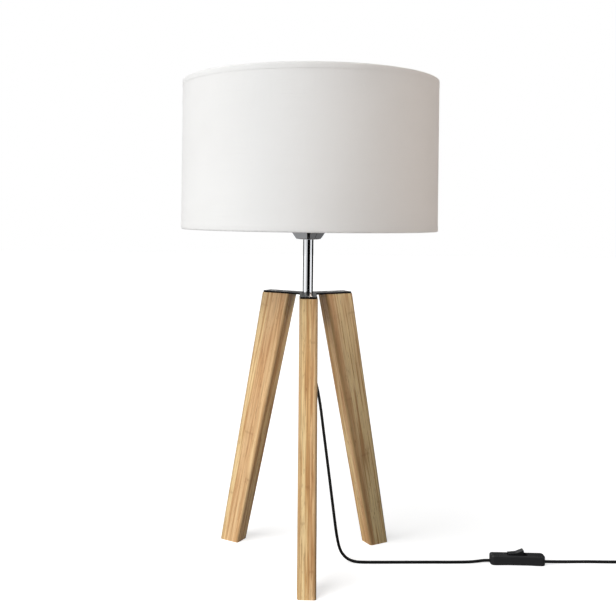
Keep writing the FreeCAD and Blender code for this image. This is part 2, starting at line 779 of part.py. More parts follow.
def make_holder_metal():
    """Screw shell, contacts and terminals of the lampholder."""
    flange_top = f"({SHELL_BOTTOM} + Sizes.shell_flange_height)"
    shell_top = f"({SHELL_BOTTOM} + Sizes.shell_length)"
    lathe(
        "socket_shell",
        [
            ("Sizes.shell_bore_radius", SHELL_BOTTOM),
            (INSULATOR_RADIUS, SHELL_BOTTOM),
            (INSULATOR_RADIUS, flange_top),
            (SHELL_OUTER_RADIUS, flange_top),
            (SHELL_OUTER_RADIUS, shell_top),
            ("Sizes.shell_bore_radius", shell_top),
        ],
    )
    slot_floor = f"({INSULATOR_TOP} - Sizes.contact_thickness)"
    body = new_body("centre_contact")
    side = new_sketch(body, "centre_contact_side", "XZ_Plane")
    outline(
        side,
        [
            ("-1 * Sizes.terminal_place", slot_floor),
            ("Sizes.terminal_place", slot_floor),
            ("Sizes.terminal_place", INSULATOR_TOP),
            ("Sizes.contact_tongue - Sizes.terminal_place", INSULATOR_TOP),
            ("Sizes.contact_tongue", f"{slot_floor} + Sizes.contact_rise"),
            ("0", f"{slot_floor} + Sizes.contact_rise"),
            ("-1 * Sizes.terminal_place", INSULATOR_TOP),
        ],
    )
    extrude(body, "Pad", side, "Sizes.contact_width", symmetric=True)
    body = new_body("side_contact")
    tab = new_sketch(body, "side_contact_tab", "XY_Plane", INSULATOR_TOP)
    chord = f"sqrt({SHELL_OUTER_RADIUS} ^ 2 - (Sizes.contact_width / 2) ^ 2)"
    middle = f"({chord} - Sizes.contact_thickness / 2 - Sizes.cord_clearance)"
    rectangle(tab, "0", middle, "Sizes.contact_width", "Sizes.contact_thickness")
    extrude(body, "Pad", tab, "Sizes.contact_rise")
    body = new_body("holder_terminals")
    block = new_sketch(body, "terminal_block", "XY_Plane", INSULATOR_BOTTOM)
    rectangle(block, "Sizes.terminal_place", "0", "Sizes.terminal_size", "Sizes.terminal_size")
    pad = extrude(body, "Pad", block, "Sizes.terminal_size", turned=True)
    hole = new_sketch(body, "terminal_hole", "XY_Plane", INSULATOR_BOTTOM)
    circle(hole, "Sizes.terminal_place", "0", "Sizes.terminal_screw_diameter / 2")
    cut = extrude(body, "Pocket", hole, "Sizes.terminal_size / 2")
    mirror(body, [pad, cut], "YZ_Plane")


def make_core_wires():
    """Two cores that rise from the lead inside the lampholder to its terminals."""
    boss_top = worked_out(f"{HOLDER_BOTTOM} + Sizes.holder_boss_height")
    terminal = worked_out(f"{INSULATOR_BOTTOM} - Sizes.terminal_size")
    rise = (terminal - boss_top) / 3
    beside = size("cord_diameter") / 4
    tubes = []
    for hand in (-1, 1):
        route = [
            Vector(hand * beside, 0, boss_top),
            Vector(hand * beside, 0, boss_top + rise),
            Vector(hand * size("terminal_place"), 0, terminal - rise),
            Vector(hand * size("terminal_place"), 0, terminal),
        ]
        tubes.append(tube(route_wire(route)[0], size("core_diameter") / 2))
    new_feature("core_wires", Part.makeCompound(tubes))


def make_shade_ring():
    """Ring nut that clamps the shade's hub on the lampholder."""
    bore = "(Sizes.skirt_barrel_radius + Sizes.ring_clearance)"
    body = lathe(
        "shade_ring",
        [
            (bore, HUB_TOP),
            ("Sizes.ring_outer_radius", HUB_TOP),
            ("Sizes.ring_outer_radius", f"{HUB_TOP} + Sizes.ring_height"),
            (bore, f"{HUB_TOP} + Sizes.ring_height"),
        ],
    )
    notch = body.newObject("PartDesign::SubtractiveCylinder", "ring_notch")
    notch.setExpression("Radius", "Sizes.ring_notch_radius")
    notch.setExpression("Height", "Sizes.ring_height * 2")
    notch.setExpression("Placement.Base.x", "Sizes.ring_outer_radius + Sizes.ring_notch_radius / 2")
    notch.setExpression("Placement.Base.z", f"{HUB_TOP} - Sizes.ring_height / 2")
    DOC.recompute()
    polar(body, [notch], NOTCH_COUNT)


# ---------------------------------------------------------------------------------------------
# Shade
# ---------------------------------------------------------------------------------------------


def make_shade():
    """Drum of fabric on a stiff liner, with turned-in hems over its two wire rings."""
    low = "(Sizes.shade_bottom + Sizes.hem_thickness)"
    high = f"({SHADE_TOP} - Sizes.hem_thickness)"
    for label, outer, inner in (
        ("shade_fabric", FABRIC_RADIUS, LINER_RADIUS),
        ("shade_liner", LINER_RADIUS, LINER_INNER_RADIUS),
    ):
        lathe(label, [(inner, low), (outer, low), (outer, high), (inner, high)])
    turned_in = f"({WIRE_PLACE} - Sizes.wire_diameter / 2)"
    for label, rim, band, cap in (
        ("bottom_hem", "Sizes.shade_bottom", "(Sizes.shade_bottom + Sizes.hem_height)", low),
        ("top_hem", SHADE_TOP, f"({SHADE_TOP} - Sizes.hem_height)", high),
    ):
        lathe(
            label,
            [
                (FABRIC_RADIUS, band),
                (SHADE_RADIUS, band),
                (SHADE_RADIUS, rim),
                (turned_in, rim),
                (turned_in, cap),
                (FABRIC_RADIUS, cap),
            ],
        )
    for label, height in (("bottom_wire", WIRE_BOTTOM), ("top_wire", WIRE_TOP)):
        wire = DOC.addObject("Part::Torus", label)
        wire.Label = label
        wire.setExpression("Radius1", WIRE_PLACE)
        wire.setExpression("Radius2", "Sizes.wire_diameter / 2")
        place(wire, z=height)
        PARTS.append(wire)
    make_shade_fitter()


def make_shade_fitter():
    """Hub that sits on the lampholder, with three arms whose ends are welded to the bottom wire."""
    body = lathe(
        "shade_fitter",
        [
            (HUB_INNER_RADIUS, SHOULDER_TOP),
            ("Sizes.hub_outer_radius", SHOULDER_TOP),
            ("Sizes.hub_outer_radius", HUB_TOP),
            (HUB_INNER_RADIUS, HUB_TOP),
        ],
    )
    root = "(Sizes.hub_outer_radius - Sizes.arm_overlap)"
    root_height = f"({SHOULDER_TOP} + Sizes.hub_thickness / 2)"
    run = f"({WIRE_PLACE} - {root})"
    drop = f"({root_height} - {WIRE_BOTTOM})"
    arm = body.newObject("PartDesign::AdditiveCylinder", "fitter_arm")
    arm.Placement = Placement(Vector(0, 0, 0), Rotation(Vector(0, 1, 0), 90))
    arm.setExpression("Radius", "Sizes.arm_diameter / 2")
    arm.setExpression("Height", f"sqrt({run} ^ 2 + {drop} ^ 2)")
    arm.setExpression("Placement.Base.x", root)
    arm.setExpression("Placement.Base.z", root_height)
    arm.setExpression("Placement.Rotation.Angle", f"90 deg + atan({drop} / {run})")
    DOC.recompute()
    polar(body, [arm], SHADE_ARM_COUNT)
    seat = body.newObject("PartDesign::SubtractiveTorus", "wire_seat")
    seat.setExpression("Radius1", WIRE_PLACE)
    seat.setExpression("Radius2", "Sizes.wire_diameter / 2")
    seat.setExpression("Placement.Base.z", WIRE_BOTTOM)
    body.Placement = Placement(Vector(0, 0, 0), Rotation(Vector(0, 0, 1), SHADE_ARM_ANGLE))


# ---------------------------------------------------------------------------------------------
# Lead: bush, relief, runs and coil
# ---------------------------------------------------------------------------------------------


def make_cord_exit():
    """Bush on the lower end of the pipe, its tapered relief and the lead held inside the lamp."""
    neck_hole = "(Sizes.relief_neck_radius + Sizes.grip_gap)"
    lathe(
        "cord_grip",
        [
            (PIPE_RADIUS, GRIP_TOP),
            ("Sizes.grip_radius", GRIP_TOP),
            ("Sizes.grip_radius", GRIP_BOTTOM),
            (neck_hole, GRIP_BOTTOM),
            (neck_hole, RELIEF_SEAT),
            (PIPE_RADIUS, RELIEF_SEAT),
        ],
    )
    lathe(
        "cord_relief",
        [
            (CORD_HOLE_RADIUS, RELIEF_TOP),
            ("Sizes.relief_collar_radius", RELIEF_TOP),
            ("Sizes.relief_collar_radius", RELIEF_SEAT),
            ("Sizes.relief_neck_radius", RELIEF_SEAT),
            ("Sizes.relief_neck_radius", GRIP_BOTTOM),
            ("Sizes.relief_top_radius", GRIP_BOTTOM),
            ("Sizes.relief_tip_radius", RELIEF_BOTTOM),
            (CORD_HOLE_RADIUS, RELIEF_BOTTOM),
        ],
    )
    lead = DOC.addObject("Part::Cylinder", "inner_cord")
    lead.Label = "inner_cord"
    lead.setExpression("Radius", CORD_RADIUS)
    lead.setExpression("Height", f"{HOLDER_BOTTOM} + Sizes.holder_boss_height - {RELIEF_BOTTOM}")
    place(lead, z=RELIEF_BOTTOM)
    PARTS.append(lead)


def route_wire(points):
    """Straight runs joined by tangent arcs, each as large as its two runs allow."""
    edges = []
    radii = []
    start = points[0]
    for before, corner, after in zip(points, points[1:], points[2:]):
        arriving = (corner - before).normalize()
        leaving = (after - corner).normalize()
        turn = arriving.getAngle(leaving)
        trim = ARC_SHARE * min((corner - before).Length, (after - corner).Length)
        radius = trim / math.tan(turn / 2)
        radii.append(radius)
        first = corner - arriving * trim
        last = corner + leaving * trim
        inward = (leaving - arriving).normalize()
        middle = corner + inward * (radius / math.cos(turn / 2) - radius)
        edges.append(Part.LineSegment(start, first).toShape())
        edges.append(Part.Arc(first, middle, last).toShape())
        start = last
    edges.append(Part.LineSegment(start, points[-1]).toShape())
    return Part.Wire(edges), radii


def tube(path, radius):
    """Round tube along a path, checked against its section times its length."""
    first = path.Edges[0]
    start = first.valueAt(first.FirstParameter)
    heading = first.tangentAt(first.FirstParameter)
    profile = Part.Wire([Part.makeCircle(radius, start, heading)])
    shell = Part.BRepOffsetAPI.MakePipeShell(path)
    shell.add(profile)
    shell.build()
    shell.makeSolid()
    solid = shell.shape()
    wanted = math.pi * radius**2 * path.Length
    if not solid.isValid() or abs(solid.Volume / wanted - 1) > VOLUME_ERROR:
        raise ValueError(f"tube: volume {solid.Volume:.1f}, section times length {wanted:.1f}")
    return solid


def switch_end(hand):
    """Where the lead enters the switch on one side."""
    across = size("switch_place") + hand * size("switch_length") / 2
    return across, size("switch_offset"), size("switch_inlet_height")


def make_cord_run(label, points):
    """One free stretch of the lead."""
    path, radii = route_wire([Vector(*point) for point in points])
    new_feature(label, tube(path, size("cord_diameter") / 2))
    print(f"{label}: length {path.Length:.1f}, radii", [round(radius, 1) for radius in radii])
    return path.Length


def coil_stations():
    """Places and headings at the quarter turns of the coil, wound clockwise seen from above.

    The spiral runs in and out by one pitch a turn, and climbs a layer where it reverses.
    """
    radius = size("coil_outer_radius")
    height = size("tie_thickness") + size("cord_lift") + size("cord_diameter") / 2
    angle = COIL_START_ANGLE
    step = size("coil_pitch") / 4
    slope = size("coil_pitch") / (2 * math.pi)
    inward = 1
    stations = [(radius, angle, height, 0.0)]
    for layer, quarters in enumerate(COIL_LAYERS):
        for quarter in range(quarters):
            radius -= inward * step
            angle -= 90
            stations.append((radius, angle, height, -inward * slope))
        if layer + 1 < len(COIL_LAYERS):
            bulge = -inward * size("coil_pitch") / 8
            climb = size("coil_layer_step")
            stations.append((radius + bulge, angle - 90, height + climb / 2, 0.0))
            stations.append((radius, angle - 180, height + climb, inward * slope))
            angle -= 180
            height += climb
            inward = -inward
    radius, angle, height, _ = stations[-1]
    stations[-1] = (radius, angle, height, 0.0)
    return stations


def station_frame(station, rising):
    """Point and heading of one station, with a rise in the heading on a climb."""
    radius, angle, height, outward = station
    turn = math.radians(angle)
    radial = Vector(math.cos(turn), math.sin(turn), 0)
    along = Vector(math.sin(turn), -math.cos(turn), 0)
    centre = Vector(size("coil_place"), size("coil_offset"), 0)
    point = centre + radial * radius + Vector(0, 0, height)
    rise = 2 * size("coil_layer_step") / math.pi * rising
    heading = along * radius + radial * outward + Vector(0, 0, rise)
    return point, heading.normalize()


def biarc(start, heading, end, arrival):
    """Two arcs that leave one point and reach another with given headings."""
    chord = end - start
    both = heading + arrival
    bend = 2 * (1 - heading.dot(arrival))
    lever = (math.sqrt(chord.dot(both) ** 2 + bend * chord.dot(chord)) - chord.dot(both)) / bend
    first_corner = start + heading * lever
    second_corner = end - arrival * lever
    joint = (first_corner + second_corner) / 2
    edges = []
    for low, corner, high in ((start, first_corner, joint), (joint, second_corner, end)):
        arriving = (corner - low).normalize()
        leaving = (high - corner).normalize()
        half = arriving.getAngle(leaving) / 2
        reach = (corner - low).Length
        inward = (leaving - arriving).normalize()
        middle = corner + inward * (reach / math.sin(half) - reach / math.tan(half))
        edges.append(Part.Arc(low, middle, high).toShape())
    return edges


def make_coil():
    """Put-away length of the lead, wound in four layers."""
    stations = coil_stations()
    frames = []
    for index, station in enumerate(stations):
        inside = 0 < index < len(stations) - 1
        climbing = inside and stations[index - 1][2] < station[2] < stations[index + 1][2]
        frames.append(station_frame(station, 1 if climbing else 0))
    straight = size("cord_diameter")
    first_point, first_heading = frames[0]
    last_point, last_heading = frames[-1]
    edges = [Part.LineSegment(first_point - first_heading * straight, first_point).toShape()]
    for (start, heading), (end, arrival) in zip(frames, frames[1:]):
        edges += biarc(start, heading, end, arrival)
    edges.append(Part.LineSegment(last_point, last_point + last_heading * straight).toShape())
    path = Part.Wire(edges)
    new_feature("cord_coil", tube(path, size("cord_diameter") / 2))
    gap = self_gap(path, size("cord_diameter"))
    print(f"cord_coil: length {path.Length:.1f}, least self-gap {gap:.2f}")
    if gap <= LEAST_SELF_GAP:
        raise ValueError("cord_coil: its turns lie too close")
    return path.Length


def self_gap(path, diameter):
    """Least gap between stretches of a tube, measured on points along its path."""
    points = path.discretize(Distance=diameter / STEPS_PER_DIAMETER)
    apart = int(NEIGHBOUR_DIAMETERS * STEPS_PER_DIAMETER)
    least = min(
        point.distanceToPoint(other)
        for index, point in enumerate(points)
        for other in points[index + apart:]
    )
    return least - diameter


def make_coil_tie():
    """Strap round the coil."""
    body = new_body("coil_tie")
    section = new_sketch(body, "tie_section", "XZ_Plane")
    turns = max(COIL_LAYERS) / 4
    inner = f"(Sizes.coil_outer_radius - {turns} * Sizes.coil_pitch - Sizes.coil_pitch / 8)"
    outer = "(Sizes.coil_outer_radius + Sizes.coil_pitch / 8)"
    layers = len(COIL_LAYERS) - 1
    low = f"({inner} - {CORD_RADIUS} - Sizes.tie_slack)"
    high = f"({outer} + {CORD_RADIUS} + Sizes.tie_slack)"
    top = f"(Sizes.tie_thickness + Sizes.cord_diameter + {layers} * Sizes.coil_layer_step + Sizes.tie_slack)"
    outline(
        section,
        [
            (f"{low} - Sizes.tie_thickness", "0"),
            (f"{high} + Sizes.tie_thickness", "0"),
            (f"{high} + Sizes.tie_thickness", f"{top} + Sizes.tie_thickness"),
            (f"{low} - Sizes.tie_thickness", f"{top} + Sizes.tie_thickness"),
        ],
    )
    outline(
        section,
        [(low, "Sizes.tie_thickness"), (high, "Sizes.tie_thickness"), (high, top), (low, top)],
    )
    extrude(body, "Pad", section, "Sizes.tie_width", symmetric=True)
    body.Placement = Placement(Vector(0, 0, 0), Rotation(Vector(0, 0, 1), TIE_ANGLE))
    place(body, x="Sizes.coil_place", y="Sizes.coil_offset")


# ---------------------------------------------------------------------------------------------
# Switch on the lead
# ---------------------------------------------------------------------------------------------


def place_in_switch(feature, height=None):
    """Put a node made about the switch's own centre where the switch lies."""
    place(feature, x="Sizes.switch_place", y="Sizes.switch_offset")
    if height is not None:
        place(feature, z=height)


def make_switch_base():
    """Lower half of the housing, hollow in the middle and arched underneath."""
    body = new_body("switch_base")
    plan = new_sketch(body, "base_plan", "XY_Plane")
    rectangle(plan, "0", "0", "Sizes.switch_length", "Sizes.switch_width")
    blank = extrude(body, "Pad", plan, "Sizes.switch_base_height")
    rounded = dress(body, "Fillet", blank, is_upright, "Sizes.switch_corner_radius")
    foot = dress(body, "Chamfer", rounded, lambda edge: at_height(edge, 0), "Sizes.switch_foot_chamfer")
    room = new_sketch(body, "base_room", "XY_Plane", "Sizes.switch_base_height")
    rectangle(room, "0", "0", "Sizes.switch_room_length", "Sizes.switch_room_width")
    extrude(body, "Pocket", room, "Sizes.switch_base_height - Sizes.switch_floor")
    arch = new_sketch(body, "base_arch", "XZ_Plane")
    outline(
        arch,
        [
            ("-1 * Sizes.switch_arch_length / 2", "0"),
            ("Sizes.switch_arch_length / 2", "0"),
            ("Sizes.switch_arch_length / 4", "Sizes.switch_arch_height"),
            ("-1 * Sizes.switch_arch_length / 4", "Sizes.switch_arch_height"),
        ],
    )
    extrude(body, "Pocket", arch, "Sizes.switch_width * 2", symmetric=True)
    inlet = new_sketch(body, "base_inlet", "YZ_Plane")
    circle(inlet, "0", "Sizes.switch_inlet_height", CORD_HOLE_RADIUS)
    extrude(body, "Pocket", inlet, "Sizes.switch_length * 2", symmetric=True)
    seat = new_sketch(body, "base_seat", "XZ_Plane")
    circle(seat, "0", "Sizes.switch_base_height", "Sizes.axle_diameter / 2")
    extrude(body, "Pocket", seat, "Sizes.axle_length", symmetric=True)
    shank = new_sketch(body, "base_screw_hole", "XY_Plane")
    circle(shank, "Sizes.switch_screw_place", "Sizes.switch_screw_side", SCREW_HOLE_RADIUS)
    through = extrude(body, "Pocket", shank, "Sizes.switch_base_height", turned=True)
    head = new_sketch(body, "base_screw_head", "XY_Plane")
    circle(
        head,
        "Sizes.switch_screw_place",
        "Sizes.switch_screw_side",
        "Sizes.switch_screw_head / 2 + Sizes.cord_clearance",
    )
    head_depth = "Sizes.switch_screw_recess + Sizes.switch_screw_head_height"
    sunk = extrude(body, "Pocket", head, head_depth, turned=True)
    drilled = polar(body, [through, sunk], 2)
    if drilled.Shape.Volume >= foot.Shape.Volume:
        raise ValueError("switch_base: its pockets cut nothing")
    place_in_switch(body)


def make_switch_cover():
    """Upper half of the housing, slotted for the rocker and grooved at both ends."""
    body = new_body("switch_cover")
    plan = new_sketch(body, "cover_plan", "XY_Plane", "Sizes.switch_base_height")
    rectangle(plan, "0", "0", "Sizes.switch_length", "Sizes.switch_width")
    blank = extrude(body, "Pad", plan, "Sizes.switch_cover_height")
    rounded = dress(body, "Fillet", blank, is_upright, "Sizes.switch_corner_radius")
    top = worked_out(SWITCH_TOP)
    crowned = dress(body, "Fillet", rounded, lambda edge: at_height(edge, top), "Sizes.switch_top_radius")
    room = new_sketch(body, "cover_room", "XY_Plane", "Sizes.switch_base_height")
    rectangle(room, "0", "0", "Sizes.switch_room_length", "Sizes.switch_room_width")
    extrude(body, "Pocket", room, "Sizes.switch_cover_height - Sizes.switch_roof", turned=True)
    slot = new_sketch(body, "cover_slot", "XY_Plane", SWITCH_TOP)
    slot_width = "(Sizes.rocker_width + Sizes.rocker_side_gap * 2)"
    rectangle(slot, "0", "0", "Sizes.rocker_slot_length", slot_width)
    extrude(body, "Pocket", slot, "Sizes.switch_cover_height")
    seat = new_sketch(body, "cover_seat", "XZ_Plane")
    circle(seat, "0", "Sizes.switch_base_height", "Sizes.axle_diameter / 2")
    extrude(body, "Pocket", seat, "Sizes.axle_length", symmetric=True)
    pilot = new_sketch(body, "cover_pilot", "XY_Plane", "Sizes.switch_base_height")
    circle(pilot, "Sizes.switch_screw_place", "Sizes.switch_screw_side", SCREW_HOLE_RADIUS)
    pilot_depth = "Sizes.switch_screw_length - Sizes.switch_base_height + Sizes.switch_screw_recess"
    hole = extrude(body, "Pocket", pilot, f"{pilot_depth} + Sizes.cord_clearance", turned=True)
    polar(body, [hole], 2)
    grooves = []
    for step in range(GROOVE_COUNT):
        groove = new_sketch(body, f"cover_groove_{step}", "XZ_Plane")
        middle = f"(Sizes.switch_groove_place + {step} * Sizes.switch_groove_step)"
        height = "Sizes.switch_groove_depth * 2"
        rectangle(groove, middle, SWITCH_TOP, "Sizes.switch_groove_width", height)
        grooves.append(extrude(body, "Pocket", groove, "Sizes.switch_width * 2", symmetric=True))
    grooved = mirror(body, grooves, "YZ_Plane")
    if grooved.Shape.Volume >= crowned.Shape.Volume:
        raise ValueError("switch_cover: its pockets cut nothing")
    place_in_switch(body)


def make_rocker():
    """Rocker and its contact blade, tipped to the side that the photo shows."""
    body = new_body("switch_rocker")
    side = new_sketch(body, "rocker_side", "XZ_Plane")
    right = [
        ("Sizes.rocker_half_length", "Sizes.rocker_rise"),
        ("Sizes.rocker_waist_half_length", "Sizes.rocker_waist_rise"),
        ("Sizes.rocker_foot_length / 2", "0"),
        ("Sizes.rocker_foot_length / 2", "-1 * Sizes.rocker_foot_drop"),
    ]
    left = [(f"-1 * {across}", along) for across, along in reversed(right)]
    outline(side, [("0", "Sizes.rocker_rise - Sizes.rocker_dip")] + right + left)
    blank = extrude(body, "Pad", side, "Sizes.rocker_width", symmetric=True)
    tip_height = size("rocker_rise")
    softened = dress(
        body,
        "Fillet",
        blank,
        lambda edge: edge.BoundBox.ZMax > tip_height - TOUCH,
        "Sizes.rocker_edge_radius",
    )
    bore = new_sketch(body, "rocker_bore", "XZ_Plane")
    circle(bore, "0", "0", "Sizes.axle_diameter / 2 + Sizes.axle_clearance")
    bored = extrude(body, "Pocket", bore, "Sizes.rocker_width * 2", symmetric=True)
    if bored.Shape.Volume >= softened.Shape.Volume:
        raise ValueError("switch_rocker: its bore cuts nothing")
    blade = new_body("rocker_blade")
    strip = new_sketch(blade, "blade_side", "XZ_Plane")
    middle = "-1 * (Sizes.rocker_foot_drop + Sizes.blade_thickness / 2)"
    rectangle(strip, "0", middle, "Sizes.blade_length", "Sizes.blade_thickness")
    extrude(blade, "Pad", strip, "Sizes.blade_width", symmetric=True)
    for piece in (body, blade):
        piece.Placement = Placement(Vector(0, 0, 0), Rotation(Vector(0, -1, 0), 1))
        piece.setExpression("Placement.Rotation.Angle", "Sizes.rocker_tilt")
        place_in_switch(piece, "Sizes.switch_base_height")


def make_switch_metal():
    """Axle, fixed contacts and screws of the switch."""
    axle = DOC.addObject("Part::Cylinder", "switch_axle")
    axle.Label = "switch_axle"
    axle.setExpression("Radius", "Sizes.axle_diameter / 2")
    axle.setExpression("Height", "Sizes.axle_length")
    axle.Placement = Placement(Vector(0, 0, 0), Rotation(Vector(1, 0, 0), 90))
    place(
        axle,
        x="Sizes.switch_place",
        y="Sizes.switch_offset + Sizes.axle_length / 2",
        z="Sizes.switch_base_height",
    )
    PARTS.append(axle)
    body = new_body("fixed_contacts")
    side = new_sketch(body, "contact_side", "XZ_Plane")
    near = "Sizes.fixed_contact_place"
    post = "(Sizes.fixed_contact_place + Sizes.fixed_contact_post)"
    far = "(Sizes.fixed_contact_place + Sizes.fixed_contact_length)"
    plate = "(Sizes.switch_floor + Sizes.fixed_contact_thickness)"
    blade_reach = "(Sizes.rocker_foot_drop + Sizes.blade_thickness)"
    blade_low = (
        f"(Sizes.switch_base_height - {blade_reach} * cos(Sizes.rocker_tilt)"
        " - Sizes.blade_length / 2 * sin(Sizes.rocker_tilt))"
    )
    post_top = f"({blade_low} - Sizes.fixed_contact_gap)"
    outline(
        side,
        [
            (near, "Sizes.switch_floor"),
            (far, "Sizes.switch_floor"),
            (far, plate),
            (post, plate),
            (post, post_top),
            (near, post_top),
        ],
    )
    pad = extrude(body, "Pad", side, "Sizes.fixed_contact_width", symmetric=True)
    mirror(body, [pad], "YZ_Plane")
    place_in_switch(body)
    screws = new_body("switch_screws")
    pieces = []
    for name, radius, length in (
        ("head", "Sizes.switch_screw_head / 2", "Sizes.switch_screw_head_height"),
        ("shank", "Sizes.switch_screw_shank / 2", "Sizes.switch_screw_length"),
    ):
        piece = screws.newObject("PartDesign::AdditiveCylinder", f"switch_screw_{name}")
        piece.setExpression("Radius", radius)
        piece.setExpression("Height", length)
        piece.setExpression("Placement.Base.x", "Sizes.switch_screw_place")
        piece.setExpression("Placement.Base.y", "Sizes.switch_screw_side")
        piece.setExpression("Placement.Base.z", "Sizes.switch_screw_recess")
        pieces.append(piece)
    DOC.recompute()
    polar(screws, pieces, 2)
    place_in_switch(screws)


def make_switch_wiring():
    """Ends of the lead inside the housing, the core that runs through and the two that are cut."""
    body = new_body("switch_cord_ends")
    section = new_sketch(body, "cord_end", "YZ_Plane", "Sizes.switch_room_length / 2")
    circle(section, "0", "Sizes.switch_inlet_height", CORD_RADIUS)
    wall = "(Sizes.switch_length / 2 - Sizes.switch_room_length / 2)"
    pad = extrude(body, "Pad", section, wall)
    mirror(body, [pad], "YZ_Plane")
    place_in_switch(body)
    end = size("switch_room_length") / 2
    height = size("switch_inlet_height")
    beside = size("cord_diameter") / 4
    side = size("switch_room_width") / 2 - size("core_diameter")
    radius = size("core_diameter") / 2
    reach = size("fixed_contact_place") + size("fixed_contact_length")
    contact_top = size("switch_floor") + size("fixed_contact_thickness") + radius
    straight_to = end - size("core_straight")
    spread_from = straight_to - size("core_spread")
    rest_from = reach - size("core_straight")
    through = [
        Vector(-end, -beside, height),
        Vector(-straight_to, -beside, height),
        Vector(-spread_from, -side, height),
        Vector(spread_from, -side, height),
        Vector(straight_to, -beside, height),
        Vector(end, -beside, height),
    ]
    tubes = [tube(route_wire(through)[0], radius)]
    for hand in (-1, 1):
        cut = [
            Vector(hand * end, beside, height),
            Vector(hand * (end - size("core_rest")), beside, height),
            Vector(hand * rest_from, beside, contact_top),
            Vector(hand * (rest_from - size("core_rest")), beside, contact_top),
        ]
        tubes.append(tube(route_wire(cut)[0], radius))
    wires = new_feature("switch_cores", Part.makeCompound(tubes))
    place_in_switch(wires)


# ---------------------------------------------------------------------------------------------
# Plug
# ---------------------------------------------------------------------------------------------


def place_in_plug(feature):
    """Turn a node made along X so that it lies where the plug does."""
    feature.Placement = Placement(Vector(0, 0, 0), Rotation(Vector(0, 0, 1), PLUG_TURN))
    place(feature, x=f"{TAIL_RUN[-1][0]}", y=PLUG_ROOT, z=PLUG_HEIGHT)


def make_plug():
    """Flat two-pin plug with its moulded relief, sleeves and pins."""
    body = new_body("plug_body")
    plan = new_sketch(body, "plug_plan", "XY_Plane", "-1 * Sizes.plug_thickness / 2")
    outline(
        plan,
        [
            ("0", "-1 * Sizes.plug_neck_width / 2"),
            ("Sizes.plug_flank_length", "-1 * Sizes.plug_width / 2"),
            (PLUG_FACE, "-1 * Sizes.plug_width / 2"),
            (PLUG_FACE, "Sizes.plug_width / 2"),
            ("Sizes.plug_flank_length", "Sizes.plug_width / 2"),
            ("0", "Sizes.plug_neck_width / 2"),
        ],
    )
    blank = extrude(body, "Pad", plan, "Sizes.plug_thickness")
    face = worked_out(PLUG_FACE)
    soft = dress(
        body,
        "Fillet",
        blank,
        lambda edge: edge.BoundBox.XMin < face - TOUCH,
        "Sizes.plug_edge_radius",
    )
    holes = new_sketch(body, "plug_holes", "YZ_Plane", PLUG_FACE)
    for hand in ("", "-1 * "):
        circle(holes, f"{hand}Sizes.pin_spacing / 2", "0", "Sizes.pin_core_diameter / 2")
    holed = extrude(body, "Pocket", holes, "Sizes.pin_root")
    if holed.Shape.Volume >= soft.Shape.Volume:
        raise ValueError("plug_body: its holes cut nothing")
    place_in_plug(body)
    relief = DOC.addObject("Part::Cone", "plug_relief")
    relief.Label = "plug_relief"
    relief.setExpression("Radius1", "Sizes.plug_relief_tip_radius")
    relief.setExpression("Radius2", "Sizes.plug_relief_root_radius")
    relief.setExpression("Height", "Sizes.plug_relief_length")
    relief.Placement = Placement(Vector(0, 0, 0), Rotation(Vector(1, 0, 0), 90))
    place(relief, x=f"{TAIL_RUN[-1][0]}", y=f"{TAIL_RUN[-1][1]}", z=PLUG_HEIGHT)
    PARTS.append(relief)
    make_pins()


def make_pins():
    """Plug pins with their insulating sleeves."""
    tip_start = f"({PLUG_FACE} + Sizes.pin_sleeve_length)"
    body = new_body("plug_pins")
    root = new_sketch(body, "pin_root", "YZ_Plane", f"{PLUG_FACE} - Sizes.pin_root")
    circle(root, "Sizes.pin_spacing / 2", "0", "Sizes.pin_core_diameter / 2")
    core = extrude(body, "Pad", root, "Sizes.pin_root + Sizes.pin_sleeve_length")
    end = new_sketch(body, "pin_end", "YZ_Plane", tip_start)
    circle(end, "Sizes.pin_spacing / 2", "0", "Sizes.pin_diameter / 2")
    tip = extrude(body, "Pad", end, "Sizes.pin_length - Sizes.pin_sleeve_length")
    mirror(body, [core, tip], "XZ_Plane")
    place_in_plug(body)
    body = new_body("pin_sleeves")
    ring = new_sketch(body, "sleeve_ring", "YZ_Plane", PLUG_FACE)
    circle(ring, "Sizes.pin_spacing / 2", "0", "Sizes.pin_diameter / 2 - Sizes.pin_sleeve_gap")
    circle(ring, "Sizes.pin_spacing / 2", "0", "Sizes.pin_core_diameter / 2")
    pad = extrude(body, "Pad", ring, "Sizes.pin_sleeve_length")
    mirror(body, [pad], "XZ_Plane")
    place_in_plug(body)


# ---------------------------------------------------------------------------------------------
# The lamp
# ---------------------------------------------------------------------------------------------


def build():
    """Make every node of the lamp."""
    for label, angle in LEG_ANGLES.items():
        make_leg(label, angle)
    make_star_plate()
    make_leg_screws()
    make_pipe_parts()
    make_holder_bodies()
    make_holder_metal()
    make_core_wires()
    make_shade_ring()
    make_shade()
    make_cord_exit()
    make_switch_base()
    make_switch_cover()
    make_rocker()
    make_switch_metal()
    make_switch_wiring()
    make_plug()
    length = make_cord_run("cord_to_switch", [*LAMP_RUN, switch_end(-1)]) + size("switch_length")
    length += make_cord_run("cord_to_coil", [switch_end(1), *PLUG_RUN])
    length += make_coil()
    length += make_cord_run("cord_to_plug", TAIL_RUN)
    make_coil_tie()
    print(f"lead from bush to plug: {length:.1f}")


